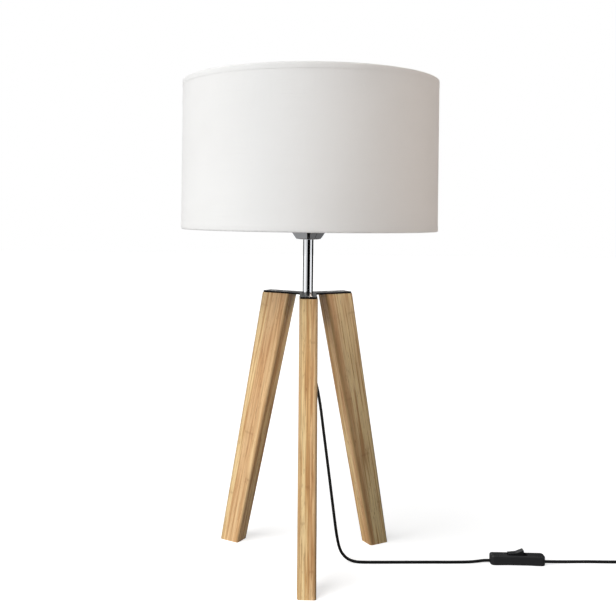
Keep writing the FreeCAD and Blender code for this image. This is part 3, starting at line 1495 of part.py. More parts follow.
def export():
    """Check every object and write each node to its own file."""
    DOC.recompute()
    for item in DOC.Objects:
        if "Invalid" in item.State or "Error" in item.State:
            raise ValueError(f"{item.Label}: {item.State}")
    os.makedirs("parts", exist_ok=True)
    for part in PARTS:
        if part.Shape.isNull() or not part.Shape.isValid():
            raise ValueError(f"{part.Label}: its shape is not valid")
        part.Shape.exportStep(f"parts/{part.Label}.step")
        box = part.Shape.BoundBox
        print(
            f"{part.Label}: {len(part.Shape.Solids)} solids, volume {part.Shape.Volume:.1f},",
            f"x {box.XMin:.1f}..{box.XMax:.1f}, y {box.YMin:.1f}..{box.YMax:.1f},",
            f"z {box.ZMin:.2f}..{box.ZMax:.2f}",
        )


build()
export()
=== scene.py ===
"""Looks of the tripod table lamp: bamboo legs, bright stem, cloth drum shade and its lead."""

from __future__ import annotations

import logging
import math
from dataclasses import dataclass, replace
from enum import Enum
from typing import Any, Iterable, Mapping, Sequence, Union

import bmesh
import bpy
from mathutils import Matrix, Vector


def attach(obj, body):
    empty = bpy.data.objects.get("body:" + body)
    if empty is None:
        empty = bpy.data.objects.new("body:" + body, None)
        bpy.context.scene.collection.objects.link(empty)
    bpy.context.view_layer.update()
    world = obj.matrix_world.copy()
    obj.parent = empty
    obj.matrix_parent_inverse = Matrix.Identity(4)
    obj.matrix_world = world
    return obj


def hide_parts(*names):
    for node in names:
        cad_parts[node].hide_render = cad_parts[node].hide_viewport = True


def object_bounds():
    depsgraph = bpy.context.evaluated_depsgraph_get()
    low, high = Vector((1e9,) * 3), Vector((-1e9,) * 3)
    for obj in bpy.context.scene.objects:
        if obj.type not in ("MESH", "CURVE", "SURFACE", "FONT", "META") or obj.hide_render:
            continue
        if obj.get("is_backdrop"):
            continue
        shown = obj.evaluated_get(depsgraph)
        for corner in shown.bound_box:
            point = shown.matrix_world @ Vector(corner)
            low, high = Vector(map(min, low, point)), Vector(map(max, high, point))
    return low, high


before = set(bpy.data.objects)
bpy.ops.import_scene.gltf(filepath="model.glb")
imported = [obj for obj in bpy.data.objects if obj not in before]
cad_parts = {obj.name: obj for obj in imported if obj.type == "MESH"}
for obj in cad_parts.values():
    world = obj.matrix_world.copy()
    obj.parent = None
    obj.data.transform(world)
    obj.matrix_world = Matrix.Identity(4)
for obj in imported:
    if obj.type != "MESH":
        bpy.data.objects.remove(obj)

Colour = tuple[float, float, float, float]
Point = tuple[float, float, float]
Number = Union["Signal", float]

LOG = logging.getLogger("lamp")
MM = 0.001
FULL_TURN = 2 * math.pi
RIGHT_ANGLE = 90.0  # degrees
WHITE = (1.0, 1.0, 1.0, 1.0)


class Body(Enum):
    """Bodies of the mechanism that new pieces ride on."""

    BASE = "base"
    SHADE = "shade"


class Slot(Enum):
    """Material slots of the record that new pieces take their finish from."""

    CLOTH = "shade_cloth"
    CORD = "cord_black"


def tint(red: float, green: float, blue: float) -> Colour:
    """Give the linear colour, with an alpha of 1, of a screen colour of 0 to 255."""

    def linear(value: float) -> float:
        """Undo the screen's curve for one channel."""
        share = value / 255
        return share / 12.92 if share <= 0.04045 else ((share + 0.055) / 1.055) ** 2.4

    return (linear(red), linear(green), linear(blue), 1.0)


# ---- Shader graphs ---------------------------


class Signal:
    """Output of a node, on which arithmetic adds Math nodes."""

    def __init__(self, graph: "Graph", socket: bpy.types.NodeSocket) -> None:
        """Keep the graph and the socket that carries the value."""
        self.graph = graph
        self.socket = socket

    def math(self, operation: str, *others: Number) -> "Signal":
        """Add a Math node that takes this value and then the others."""
        operands = dict(enumerate((self, *others)))
        return self.graph.out("ShaderNodeMath", {"operation": operation}, operands)

    def after(self, operation: str, first: float) -> "Signal":
        """Add a Math node that takes a number and then this value."""
        operands = {0: first, 1: self}
        return self.graph.out("ShaderNodeMath", {"operation": operation}, operands)

    def __add__(self, other: Number) -> "Signal":
        """Add."""
        return self.math("ADD", other)

    __radd__ = __add__

    def __mul__(self, other: Number) -> "Signal":
        """Multiply."""
        return self.math("MULTIPLY", other)

    __rmul__ = __mul__

    def __sub__(self, other: Number) -> "Signal":
        """Subtract."""
        return self.math("SUBTRACT", other)

    def __rsub__(self, other: float) -> "Signal":
        """Subtract this value from a number."""
        return self.after("SUBTRACT", other)

    def __truediv__(self, other: Number) -> "Signal":
        """Divide."""
        return self.math("DIVIDE", other)

    def __rtruediv__(self, other: float) -> "Signal":
        """Divide a number by this value."""
        return self.after("DIVIDE", other)

    def __abs__(self) -> "Signal":
        """Give the size without its sign."""
        return self.math("ABSOLUTE")

    def sine(self) -> "Signal":
        """Give the sine of this angle in radians."""
        return self.math("SINE")

    def floor(self) -> "Signal":
        """Round down."""
        return self.math("FLOOR")

    def above(self, limit: Number) -> "Signal":
        """Give 1 above the limit and 0 below."""
        return self.math("GREATER_THAN", limit)

    def ramp(self, low: float, high: float) -> "Signal":
        """Rise smoothly from 0 at low to 1 at high."""
        settings = {"interpolation_type": "SMOOTHSTEP"}
        sockets = {"Value": self, "From Min": low, "From Max": high}
        return self.graph.out("ShaderNodeMapRange", settings, sockets)


class Graph:
    """Node tree of one material or of the world."""

    def __init__(self, owner: bpy.types.ID) -> None:
        """Empty the owner's node tree and keep it."""
        owner.use_nodes = True
        self.tree = owner.node_tree
        self.tree.nodes.clear()

    def node(
        self,
        kind: str,
        settings: Mapping[str, Any] | None = None,
        sockets: Mapping[int | str, Any] | None = None,
    ) -> bpy.types.Node:
        """Add one node.

        Args:
            kind: The node's type.
            settings: Properties that are set before the sockets.
            sockets: Values or signals by input name or number.

        Returns:
            The new node.
        """
        node = self.tree.nodes.new(kind)
        for name, value in (settings or {}).items():
            setattr(node, name, value)
        for key, value in (sockets or {}).items():
            if isinstance(value, Signal):
                self.tree.links.new(value.socket, node.inputs[key])
            else:
                node.inputs[key].default_value = value
        return node

    def out(
        self,
        kind: str,
        settings: Mapping[str, Any] | None = None,
        sockets: Mapping[int | str, Any] | None = None,
        output: int | str = 0,
    ) -> Signal:
        """Add one node, as node does, and give one of its outputs by name or number."""
        return Signal(self, self.node(kind, settings, sockets).outputs[output])

    def place(self, source: str = "Object") -> Signal:
        """Give the coordinates of the shaded point, from the object or its UV map."""
        return self.out("ShaderNodeTexCoord", output=source)

    def parts(self, vector: Signal) -> tuple[Signal, Signal, Signal]:
        """Split a vector in its three numbers."""
        node = self.node("ShaderNodeSeparateXYZ", sockets={0: vector})
        return tuple(Signal(self, socket) for socket in node.outputs)

    def vector(self, x: Number, y: Number, z: Number) -> Signal:
        """Join three numbers in a vector."""
        return self.out("ShaderNodeCombineXYZ", sockets={0: x, 1: y, 2: z})

    def noise(self, vector: Signal, scale: float, detail: float) -> Signal:
        """Add smooth noise around one half, with so many waves per metre."""
        sockets = {"Vector": vector, "Scale": scale, "Detail": detail}
        return self.out("ShaderNodeTexNoise", sockets=sockets)

    def grain(self, parts: Sequence[Signal], waves: Sequence[float], detail: float) -> Signal:
        """Add smooth noise with its own number of waves per metre along each axis."""
        stretched = [part * wave for part, wave in zip(parts, waves)]
        return self.noise(self.vector(*stretched), 1.0, detail)

    def dice(self, number: Signal) -> Signal:
        """Give a random share for each whole number."""
        return self.out("ShaderNodeTexWhiteNoise", {"noise_dimensions": "1D"}, {"W": number})

    def mix(self, share: Number, first: Any, second: Any) -> Signal:
        """Blend a first colour with a share of a second one."""
        sockets = {0: share, 6: first, 7: second}
        return self.out("ShaderNodeMix", {"data_type": "RGBA"}, sockets, 2)

    def bump(self, height: Signal, depth: float, strength: float) -> Signal:
        """Turn a height, 0 to 1 over a depth in metres, into a bent normal."""
        sockets = {"Strength": strength, "Distance": depth, "Height": height}
        return self.out("ShaderNodeBump", sockets=sockets, output="Normal")

    def seen(self) -> Signal:
        """Give 1 for what the camera, bright metal and glass see, and 0 for plain light."""
        rays = self.node("ShaderNodeLightPath")
        seen = Signal(self, rays.outputs["Is Camera Ray"])
        for name in ("Is Glossy Ray", "Is Transmission Ray"):
            seen = seen.math("MAXIMUM", Signal(self, rays.outputs[name]))
        return seen

    def surface(self, **sockets: Any) -> None:
        """End the tree in a Principled shader whose sockets are given in snake case."""
        named = {
            key.replace("_", " ").title().replace("Ior", "IOR"): value
            for key, value in sockets.items()
        }
        shader = self.out("ShaderNodeBsdfPrincipled", sockets=named)
        self.node("ShaderNodeOutputMaterial", sockets={"Surface": shader})


# ---- Finishes --------------------------------


@dataclass(frozen=True)
class Finish:
    """A named procedural material."""

    name: str

    def draw(self, graph: Graph) -> None:
        """Fill the material's node tree."""
        raise NotImplementedError

    def material(self) -> bpy.types.Material:
        """Make the material."""
        made = bpy.data.materials.new(self.name)
        self.draw(Graph(made))
        return made


@dataclass(frozen=True)
class Layer:
    """Tone that comes up where a signal rises from low to high."""

    low: float
    high: float
    share: float = 1.0

    def rise(self, signal: Signal) -> Signal:
        """Give the rise itself, 0 to 1."""
        return signal.ramp(self.low, self.high)

    def over(self, signal: Signal) -> Signal:
        """Give how much of the tone shows."""
        return self.rise(signal) * self.share


@dataclass(frozen=True)
class Grain:
    """Noise that is drawn out along the wood."""

    scale: float
    stretch: float
    detail: float

    def draw(self, graph: Graph, across: Signal, through: Signal, along: Signal) -> Signal:
        """Give the noise at a place in the leg's own frame."""
        place = graph.vector(across, through, along * self.stretch)
        return graph.noise(place, self.scale, self.detail)


@dataclass(frozen=True)
class BambooFinish(Finish):
    """Laminated bamboo under satin lacquer, its strips running along one leg."""

    foot: Point
    turn: Point
    seed: float
    pale: Colour = tint(246, 220, 163)
    warm: Colour = tint(213, 169, 112)
    blush: Colour = tint(222, 180, 136)
    vein: Colour = tint(186, 132, 76)
    fibre: Colour = tint(152, 102, 56)
    edge: Colour = tint(168, 136, 92)
    strip_width: float = 5.0 * MM
    strip_depth: float = 12.4 * MM
    # Strips are counted from far outside the leg, so that every number is positive.
    first_column: float = 60.5
    first_row: float = 30.5
    column_code: float = 3.0
    row_code: float = 17.0
    second_throw: float = 91.7
    strip_shift: float = 0.7
    joint_spacing: float = 0.235
    joint_shift: float = 5.0
    half_width: float = 10.0 * MM
    half_depth: float = 12.5 * MM
    spread: float = 0.018
    roughness: float = 0.47
    depth: float = 0.12 * MM
    weights: tuple[float, ...] = (0.8, 0.3, 2.9, 2.0)
    fibres: Grain = Grain(1300.0, 0.018, 3.0)
    streaks: Grain = Grain(380.0, 0.03, 3.0)
    bands: Grain = Grain(190.0, 0.02, 2.0)
    clouds: Grain = Grain(26.0, 0.3, 2.0)
    dashes: Grain = Grain(1250.0, 0.085, 1.0)
    warmth: Layer = Layer(0.05, 1.0)
    blushing: Layer = Layer(0.35, 1.0, 0.6)
    veining: Layer = Layer(0.75, 0.92, 0.62)
    fibring: Layer = Layer(0.42, 0.72, 0.46)
    ticking: Layer = Layer(0.64, 0.72, 0.55)
    joint: Layer = Layer(0.002, 0.009, 0.2)
    halo: Layer = Layer(0.006, 0.06, 0.13)
    seam: Layer = Layer(0.45, 0.5, 0.22)
    rounding: Layer = Layer(1.4 * MM, 3.8 * MM, 0.6)

    def rim(self, across: Signal, through: Signal, along: Signal) -> Signal:
        """Give 1 on the leg's rounded long edges and 0 on its flats."""
        aside = self.half_width - abs(across)
        behind = along * self.spread + self.half_depth - abs(through)
        return 1.0 - self.rounding.rise(aside + behind)

    def draw(self, graph: Graph) -> None:
        """Lay strips, fibres, short ticks and the stalk's joints in the leg's own frame."""
        settings = {"vector_type": "TEXTURE"}
        sockets = {"Vector": graph.place(), "Location": self.foot, "Rotation": self.turn}
        leg = graph.out("ShaderNodeMapping", settings, sockets)
        across, through, along = graph.parts(leg)
        column = (across / self.strip_width + self.first_column).floor()
        row = (through / self.strip_depth + self.first_row).floor()
        strip = column * self.column_code + row * self.row_code + self.seed
        chance = graph.dice(strip)
        other = graph.dice(strip + self.second_throw)
        shifted = along + chance * self.strip_shift
        fibres = self.fibres.draw(graph, across, through, shifted)
        streaks = self.streaks.draw(graph, across, through, shifted)
        bands = self.bands.draw(graph, across, through, along)
        clouds = self.clouds.draw(graph, across, through, shifted)
        ticks = self.ticking.rise(self.dashes.draw(graph, across, through, shifted))
        cycle = along / self.joint_spacing + other * self.joint_shift
        phase = abs(cycle - cycle.floor() - 0.5)
        joint = 1.0 - self.joint.rise(phase)
        halo = 1.0 - self.halo.rise(phase)
        luck, haze, streak, band = self.weights
        tone = chance * luck + clouds * haze + (streaks - 0.5) * streak + (bands - 0.5) * band
        wood = graph.mix(self.warmth.rise(tone), self.pale, self.warm)
        wood = graph.mix(self.blushing.over(other), wood, self.blush)
        wood = graph.mix(self.veining.over(streaks + bands * 0.5), wood, self.vein)
        wood = graph.mix(self.fibring.over(fibres), wood, self.fibre)
        wood = graph.mix(ticks * self.ticking.share, wood, self.fibre)
        wood = graph.mix(joint * self.joint.share + halo * self.halo.share, wood, self.fibre)
        gap = abs(across / self.strip_width + self.first_column - column - 0.5)
        seam = self.seam.over(gap)
        wood = graph.mix(seam, wood, self.fibre)
        # Darker towards the rounded long edges: the edge tone is mixed in by the rim mask.
        worn = self.rim(across, through, along) * self.rounding.share
        wood = graph.mix(worn, wood, self.edge)
        relief = fibres * 0.6 + ticks * -0.5 + joint * 0.3 + seam * -1.2
        graph.surface(
            base_color=wood,
            roughness=self.roughness + (fibres - 0.5) * 0.22,
            normal=graph.bump(relief, self.depth, 0.7),
            coat_weight=0.1,
            coat_roughness=0.35,
        )


@dataclass(frozen=True)
class MetalFinish(Finish):
    """Bare or plated metal with faint draw marks, cloudiness and handling marks."""

    colour: Colour = tint(238, 239, 241)
    shadow: Colour = tint(214, 216, 220)
    roughness: float = 0.05
    spread: float = 0.03
    grain: Point = (900.0, 900.0, 14.0)
    depth: float = 0.004 * MM
    cloud_scale: float = 70.0
    smudge_scale: float = 34.0
    smudging: Layer = Layer(0.5, 0.72)

    def draw(self, graph: Graph) -> None:
        """Mix two tones by clouds and lines, and roughen the surface where it was handled."""
        place = graph.place()
        lines = graph.grain(graph.parts(place), self.grain, 2.0)
        clouds = graph.noise(place, self.cloud_scale, 3.0)
        smudge = self.smudging.rise(graph.noise(place, self.smudge_scale, 4.0))
        tone = graph.mix(clouds * 0.6 + lines * 0.3, self.colour, self.shadow)
        rough = self.roughness + smudge * self.spread + (lines - 0.5) * self.spread
        graph.surface(
            base_color=tone,
            metallic=1.0,
            roughness=rough,
            normal=graph.bump(lines, self.depth, 0.5),
        )


@dataclass(frozen=True)
class PaintFinish(Finish):
    """Baked coating with the slight orange peel that it dries to."""

    colour: Colour = tint(30, 30, 31)
    worn: Colour = tint(52, 52, 54)
    roughness: float = 0.34
    peel: float = 900.0
    depth: float = 0.03 * MM
    gloss: float = 0.5
    cloud_scale: float = 45.0
    speck_scale: float = 2600.0
    clouding: Layer = Layer(0.35, 0.8, 0.5)
    specking: Layer = Layer(0.66, 0.76, 0.35)

    def draw(self, graph: Graph) -> None:
        """Vary tone by clouds and specks over a fine peel."""
        place = graph.place()
        peel = graph.noise(place, self.peel, 2.0)
        clouds = graph.noise(place, self.cloud_scale, 3.0)
        specks = self.specking.rise(graph.noise(place, self.speck_scale, 1.0))
        tone = graph.mix(self.clouding.over(clouds), self.colour, self.worn)
        tone = graph.mix(specks * self.specking.share, tone, self.worn)
        graph.surface(
            base_color=tone,
            roughness=self.roughness + (clouds - 0.5) * 0.16 + specks * 0.08,
            normal=graph.bump(peel, self.depth, 0.6),
            specular_ior_level=self.gloss,
        )


@dataclass(frozen=True)
class MouldedFinish(Finish):
    """Moulded plastic or rubber with a spark-eroded grain and light scuffs."""

    colour: Colour = tint(35, 35, 37)
    scuff: Colour = tint(66, 66, 68)
    roughness: float = 0.4
    grain: float = 3200.0
    depth: float = 0.03 * MM
    gloss: float = 0.5
    flow_scale: float = 60.0
    scratch_waves: Point = (90.0, 900.0, 900.0)
    scratching: Layer = Layer(0.62, 0.75, 0.3)
    handling: Layer = Layer(0.45, 0.65)

    def draw(self, graph: Graph) -> None:
        """Vary tone by grain, flow clouds and a few long scuffs."""
        place = graph.place()
        parts = graph.parts(place)
        grain = graph.noise(place, self.grain, 2.0)
        flow = graph.noise(place, self.flow_scale, 3.0)
        scratch = graph.grain(parts, self.scratch_waves, 3.0)
        scuffs = self.scratching.rise(scratch) * self.handling.rise(flow)
        tone = graph.mix(grain * 0.22 + flow * 0.18, self.colour, self.scuff)
        tone = graph.mix(scuffs * self.scratching.share, tone, self.scuff)
        graph.surface(
            base_color=tone,
            roughness=self.roughness + (flow - 0.5) * 0.2 + scuffs * 0.12,
            normal=graph.bump(grain, self.depth, 0.6),
            specular_ior_level=self.gloss,
        )


@dataclass(frozen=True)
class ClothFinish(Finish):
    """Plain woven cloth whose threads follow the piece's UV map, in metres."""

    thread: Colour = tint(242, 242, 241)
    # gap: tone of the painted shade between the threads, also the tone of the faint clouds.
    gap: Colour = tint(209, 207, 204)
    slub: Colour = tint(230, 229, 227)
    pitch: float = 0.62 * MM
    roughness: float = 0.86
    depth: float = 0.07 * MM
    drift: float = 1.2 * MM
    drift_scale: float = 18.0
    cloud_scale: float = 9.0
    slub_length: float = 14.0
    slub_width: float = 1300.0
    slubbing: Layer = Layer(0.5, 0.74, 0.4)
    gap_shading: Layer = Layer(0.25, 1.0, 0.55)
    clouding: Layer = Layer(0.3, 0.8, 0.16)

    def draw(self, graph: Graph) -> None:
        """Weave warp over weft, with painted shade between the threads and thicker threads here
        and there.
        """
        around, up, _ = graph.parts(graph.place("UV"))
        drift = graph.noise(graph.vector(around, up, 0.0), self.drift_scale, 2.0) - 0.5
        threads = math.pi / self.pitch
        warp = ((around + drift * self.drift) * threads).sine()
        weft = ((up + drift * self.drift) * threads).sine()
        over = (warp * weft).above(0.0)
        height = abs(warp) * over + abs(weft) * (1.0 - over)
        long, fine = self.slub_length, self.slub_width
        lying = graph.noise(graph.vector(around * long, up * fine, 0.0), 1.0, 3.0)
        standing = graph.noise(graph.vector(around * fine, up * long, 7.0), 1.0, 3.0)
        slubs = self.slubbing.rise(lying) * 0.7 + self.slubbing.rise(standing) * 0.5
        clouds = graph.noise(graph.vector(around, up, 3.0), self.cloud_scale, 3.0)
        # Darker between the threads: painted shade in the weave's hollows.
        cloth = graph.mix(self.gap_shading.over(1.0 - height), self.thread, self.gap)
        cloth = graph.mix(slubs * self.slubbing.share, cloth, self.slub)
        cloth = graph.mix(self.clouding.over(clouds), cloth, self.gap)
        graph.surface(
            base_color=cloth,
            roughness=self.roughness + (height - 0.5) * 0.12,
            normal=graph.bump(height + slubs * 0.6, self.depth, 0.55),
            sheen_weight=0.12,
            sheen_roughness=0.45,
        )


CLOTH = ClothFinish("shade_cloth_weave")
HEM = ClothFinish("shade_hem_weave", thread=tint(241, 241, 240), pitch=0.56 * MM)


@dataclass(frozen=True)
class LiningFinish(Finish):
    """White film behind the cloth, faintly cloudy, with the cloth's print-through."""

    colour: Colour = tint(240, 239, 235)
    cloud: Colour = tint(222, 219, 211)
    roughness: float = 0.42
    depth: float = 0.03 * MM
    cloud_scale: float = 16.0
    print_waves: Point = (40.0, 40.0, 1500.0)
    clouding: Layer = Layer(0.3, 0.8, 0.6)
    printing: Layer = Layer(0.45, 0.75, 0.25)

    def draw(self, graph: Graph) -> None:
        """Mix clouds and a fine cross grain."""
        place = graph.place()
        parts = graph.parts(place)
        clouds = graph.noise(place, self.cloud_scale, 4.0)
        level = graph.grain(parts, self.print_waves, 2.0)
        tone = graph.mix(self.clouding.over(clouds), self.colour, self.cloud)
        tone = graph.mix(self.printing.over(level), tone, self.cloud)
        graph.surface(
            base_color=tone,
            roughness=self.roughness + (clouds - 0.5) * 0.2,
            normal=graph.bump(level, self.depth, 0.5),
        )


@dataclass(frozen=True)
class JacketFinish(Finish):
    """Extruded jacket of a lead: satin, with faint lines and dust."""

    colour: Colour = tint(9, 9, 10)
    dust: Colour = tint(34, 33, 32)
    roughness: float = 0.4
    gloss: float = 0.25
    depth: float = 0.02 * MM
    cloud_scale: float = 120.0
    speck_scale: float = 2100.0
    clouding: Layer = Layer(0.35, 0.8, 0.35)
    dusting: Layer = Layer(0.62, 0.72, 0.25)

    def draw(self, graph: Graph) -> None:
        """Vary tone by soft clouds and specks of dust."""
        place = graph.place()
        clouds = graph.noise(place, self.cloud_scale, 3.0)
        specks = graph.noise(place, self.speck_scale, 2.0)
        tone = graph.mix(self.clouding.over(clouds), self.colour, self.dust)
        tone = graph.mix(self.dusting.over(specks), tone, self.dust)
        graph.surface(
            base_color=tone,
            roughness=self.roughness + (clouds - 0.5) * 0.25,
            normal=graph.bump(specks, self.depth, 0.4),
            specular_ior_level=self.gloss,
        )


@dataclass(frozen=True)
class WebbingFinish(Finish):
    """Hook-and-loop strip, ribbed across its run and fuzzy."""

    colour: Colour = tint(24, 24, 26)
    loop: Colour = tint(70, 70, 74)
    roughness: float = 0.86
    pitch: float = 0.7 * MM
    depth: float = 0.12 * MM
    fuzz_scale: float = 3400.0
    fuzzing: Layer = Layer(0.4, 0.75, 0.5)

    def draw(self, graph: Graph) -> None:
        """Set ribs in height and loops as bright fuzz."""
        place = graph.place()
        _, _, z = graph.parts(place)
        ribs = abs((z * (math.pi / self.pitch)).sine())
        fuzz = graph.noise(place, self.fuzz_scale, 2.0)
        tone = graph.mix(self.fuzzing.over(fuzz) + ribs * 0.1, self.colour, self.loop)
        graph.surface(
            base_color=tone,
            roughness=self.roughness + (fuzz - 0.5) * 0.15,
            normal=graph.bump(ribs * 0.5 + fuzz, self.depth, 0.7),
        )


@dataclass(frozen=True)
class DullFinish(Finish):
    """Studio cloth of one level that shows only in bright metal."""

    level: float

    def draw(self, graph: Graph) -> None:
        """Give off an even level of light."""
        glow = graph.out("ShaderNodeEmission", sockets={"Strength": self.level})
        graph.node("ShaderNodeOutputMaterial", sockets={"Surface": glow})


@dataclass(frozen=True)
class SweepFinish(Finish):
    """Pale floor that glows to white in the picture and keeps the lamp's shadow."""

    grey: float
    glow: float

    def draw(self, graph: Graph) -> None:
        """Add a glow that only the camera and bright surfaces see to a matt grey."""
        matt = graph.out(
            "ShaderNodeBsdfDiffuse",
            sockets={"Color": (self.grey, self.grey, self.grey, 1.0)},
        )
        strength = graph.seen() * self.glow
        glow = graph.out("ShaderNodeEmission", sockets={"Strength": strength})
        whole = graph.out("ShaderNodeAddShader", sockets={0: matt, 1: glow})
        graph.node("ShaderNodeOutputMaterial", sockets={"Surface": whole})


# ---- Making and dressing pieces --------------


def dress(finish: Finish, names: Iterable[str]) -> None:
    """Give the model's own nodes a finish.

    Args:
        finish: What they are made of.
        names: The nodes' names.
    """
    material = finish.material()
    for name in names:
        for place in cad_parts[name].material_slots:
            place.material = material
        LOG.info("%s: %s", name, finish.name)


def add_object(name: str, data: bpy.types.ID, finish: Finish) -> bpy.types.Object:
    """Put new geometry in the scene.

    Args:
        name: The piece's name.
        data: Its mesh or curve.
        finish: What it is made of.

    Returns:
        The new object.
    """
    made = bpy.data.objects.new(name, data)
    bpy.context.scene.collection.objects.link(made)
    data.materials.append(finish.material())
    LOG.info("%s: new, %s", name, finish.name)
    return made


def add_piece(
    name: str,
    shape: bmesh.types.BMesh,
    finish: Finish,
    body: Body,
    sharp: float = 35.0,
) -> bpy.types.Object:
    """Make a piece from a finished bmesh and let it ride on a body.

    Args:
        name: The piece's name.
        shape: Its geometry, which is used up.
        finish: What it is made of.
        body: The body that carries it.
        sharp: Angle in degrees above which an edge stays sharp.

    Returns:
        The new object.
    """
    for face in shape.faces:
        face.smooth = True
    for edge in shape.edges:
        if len(edge.link_faces) == 2:
            edge.smooth = edge.calc_face_angle(0.0) < math.radians(sharp)
    mesh = bpy.data.meshes.new(name)
    shape.to_mesh(mesh)
    shape.free()
    made = add_object(name, mesh, finish)
    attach(made, body.value)
    return made


def flat_mesh(name: str, segments: int, aim: Matrix) -> bpy.types.Mesh:
    """Make a square of a few faces.

    Args:
        name: The mesh's name.
        segments: Faces along each side.
        aim: Where the unit square goes.

    Returns:
        The new mesh.
    """
    shape = bmesh.new()
    bmesh.ops.create_grid(shape, x_segments=segments, y_segments=segments, size=0.5)
    bmesh.ops.transform(shape, matrix=aim, verts=shape.verts)
    mesh = bpy.data.meshes.new(name)
    shape.to_mesh(mesh)
    shape.free()
    return mesh


def spun(profile: Sequence[tuple[float, float]], segments: int) -> bmesh.types.BMesh:
    """Spin an open line of radius and height about the lamp's axis.

    Args:
        profile: Radius and height of each point, in metres.
        segments: Steps in the full turn.

    Returns:
        The open surface, its faces pointing outwards.
    """
    shape = bmesh.new()
    corners = [shape.verts.new((radius, 0.0, height)) for radius, height in profile]
    edges = [shape.edges.new(pair) for pair in zip(corners, corners[1:])]
    bmesh.ops.spin(
        shape,
        geom=corners + edges,
        cent=(0.0, 0.0, 0.0),
        axis=(0.0, 0.0, 1.0),
        angle=FULL_TURN,
        steps=segments,
        use_merge=True,
    )
    bmesh.ops.remove_doubles(shape, verts=shape.verts, dist=1e-6)
    return shape


def wrap_map(shape: bmesh.types.BMesh, radius: float) -> None:
    """Give a piece round the lamp's axis a UV map in metres, round it and along its profile.

    Args:
        shape: The piece.
        radius: Radius at which the map has its true width.
    """
    layer = shape.loops.layers.uv.new("cloth")
    for face in shape.faces:
        middle = face.calc_center_median()
        heading = math.atan2(middle.y, middle.x)
        for loop in face.loops:
            x, y, z = loop.vert.co
            turn = math.atan2(y, x) - heading
            turn -= FULL_TURN * round(turn / FULL_TURN)
            inset = radius - math.hypot(x, y)
            loop[layer].uv = ((heading + turn) * radius, z + inset)


# ---- Sub-assemblies --------------------------


@dataclass
class Tripod:
    """Three bamboo legs under the star plate."""

    angles: tuple[tuple[str, float], ...] = (
        ("front_leg", 270.0),
        ("rear_left_leg", 150.0),
        ("rear_right_leg", 30.0),
    )
    seed_step: float = 211.0
    top_reach: float = 38.0 * MM
    foot_reach: float = 99.75 * MM
    height: float = 305.0 * MM

    def leg_frame(self, angle: float) -> tuple[Point, Point]:
        """Find where one leg's grain starts and how it is turned.

        Args:
            angle: The leg's direction from the stem, in degrees.

        Returns:
            The foot's middle, and the Euler angles whose Z runs up the leg.
        """
        outward = Vector((math.cos(math.radians(angle)), math.sin(math.radians(angle)), 0.0))
        foot = outward * self.foot_reach
        up = (outward * self.top_reach + Vector((0.0, 0.0, self.height)) - foot).normalized()
        side = Vector((-outward.y, outward.x, 0.0))
        turn = Matrix((side, up.cross(side), up)).transposed().to_euler()
        return tuple(foot), tuple(turn)

    def build(self) -> None:
        """Dress the legs, the plate and its screws."""
        for number, (name, angle) in enumerate(self.angles):
            foot, turn = self.leg_frame(angle)
            seed = self.seed_step * number
            grain = BambooFinish(f"bamboo_{name}", foot=foot, turn=turn, seed=seed)
            # The front leg's bamboo is a lighter copy of the others' tones: painted light that
            # brightens the leg facing the camera beyond what the lamps give it.
            if name == "front_leg":
                grain = replace(grain, pale=tint(250, 220, 163), warm=tint(219, 172, 113))
            dress(grain, [name])
        coat = PaintFinish(
            "black_powder_coat",
            colour=tint(12, 12, 13),
            worn=tint(26, 26, 27),
            roughness=0.4,
            gloss=0.05,
        )
        dress(coat, ["star_plate"])
        screws = PaintFinish("blackened_screws", roughness=0.28, peel=2400.0)
        dress(screws, ["leg_screws"])


@dataclass
class Stem:
    """Bright tube and cup over the threaded pipe."""

    def build(self) -> None:
        """Dress the metal of the stem."""
        chrome = MetalFinish("polished_chrome", roughness=0.03, spread=0.012, depth=0.001 * MM)
        dress(chrome, ["stem_tube", "holder_cup"])
        zinc = MetalFinish(
            "zinc_plate",
            colour=tint(188, 190, 192),
            shadow=tint(150, 153, 158),
            roughness=0.3,
            spread=0.12,
            grain=(500.0, 500.0, 500.0),
        )
        dress(zinc, ["threaded_pipe", "pipe_washer", "pipe_nut", "switch_axle", "switch_screws"])


@dataclass
class Lampholder:
    """Black holder inside the shade, its brass and ceramic insides and its ring."""

    def build(self) -> None:
        """Dress the holder's nodes."""
        moulded = MouldedFinish("phenolic_moulding", roughness=0.3, grain=1800.0)
        dress(moulded, ["holder_base", "holder_skirt", "shade_ring"])
        ceramic = PaintFinish(
            "ceramic",
            colour=tint(236, 233, 225),
            worn=tint(214, 208, 196),
            roughness=0.55,
            peel=700.0,
        )
        dress(ceramic, ["holder_insulator"])
        brass = MetalFinish(
            "brass",
            colour=tint(222, 188, 112),
            shadow=tint(188, 146, 78),
            roughness=0.22,
            spread=0.12,
            grain=(600.0, 600.0, 600.0),
        )
        contacts = ["centre_contact", "side_contact", "holder_terminals", "rocker_blade"]
        dress(brass, ["socket_shell", "fixed_contacts", *contacts])
        cores = MouldedFinish(
            "core_insulation",
            colour=tint(44, 82, 140),
            scuff=tint(84, 120, 170),
            roughness=0.42,
        )
        dress(cores, ["core_wires", "switch_cores"])


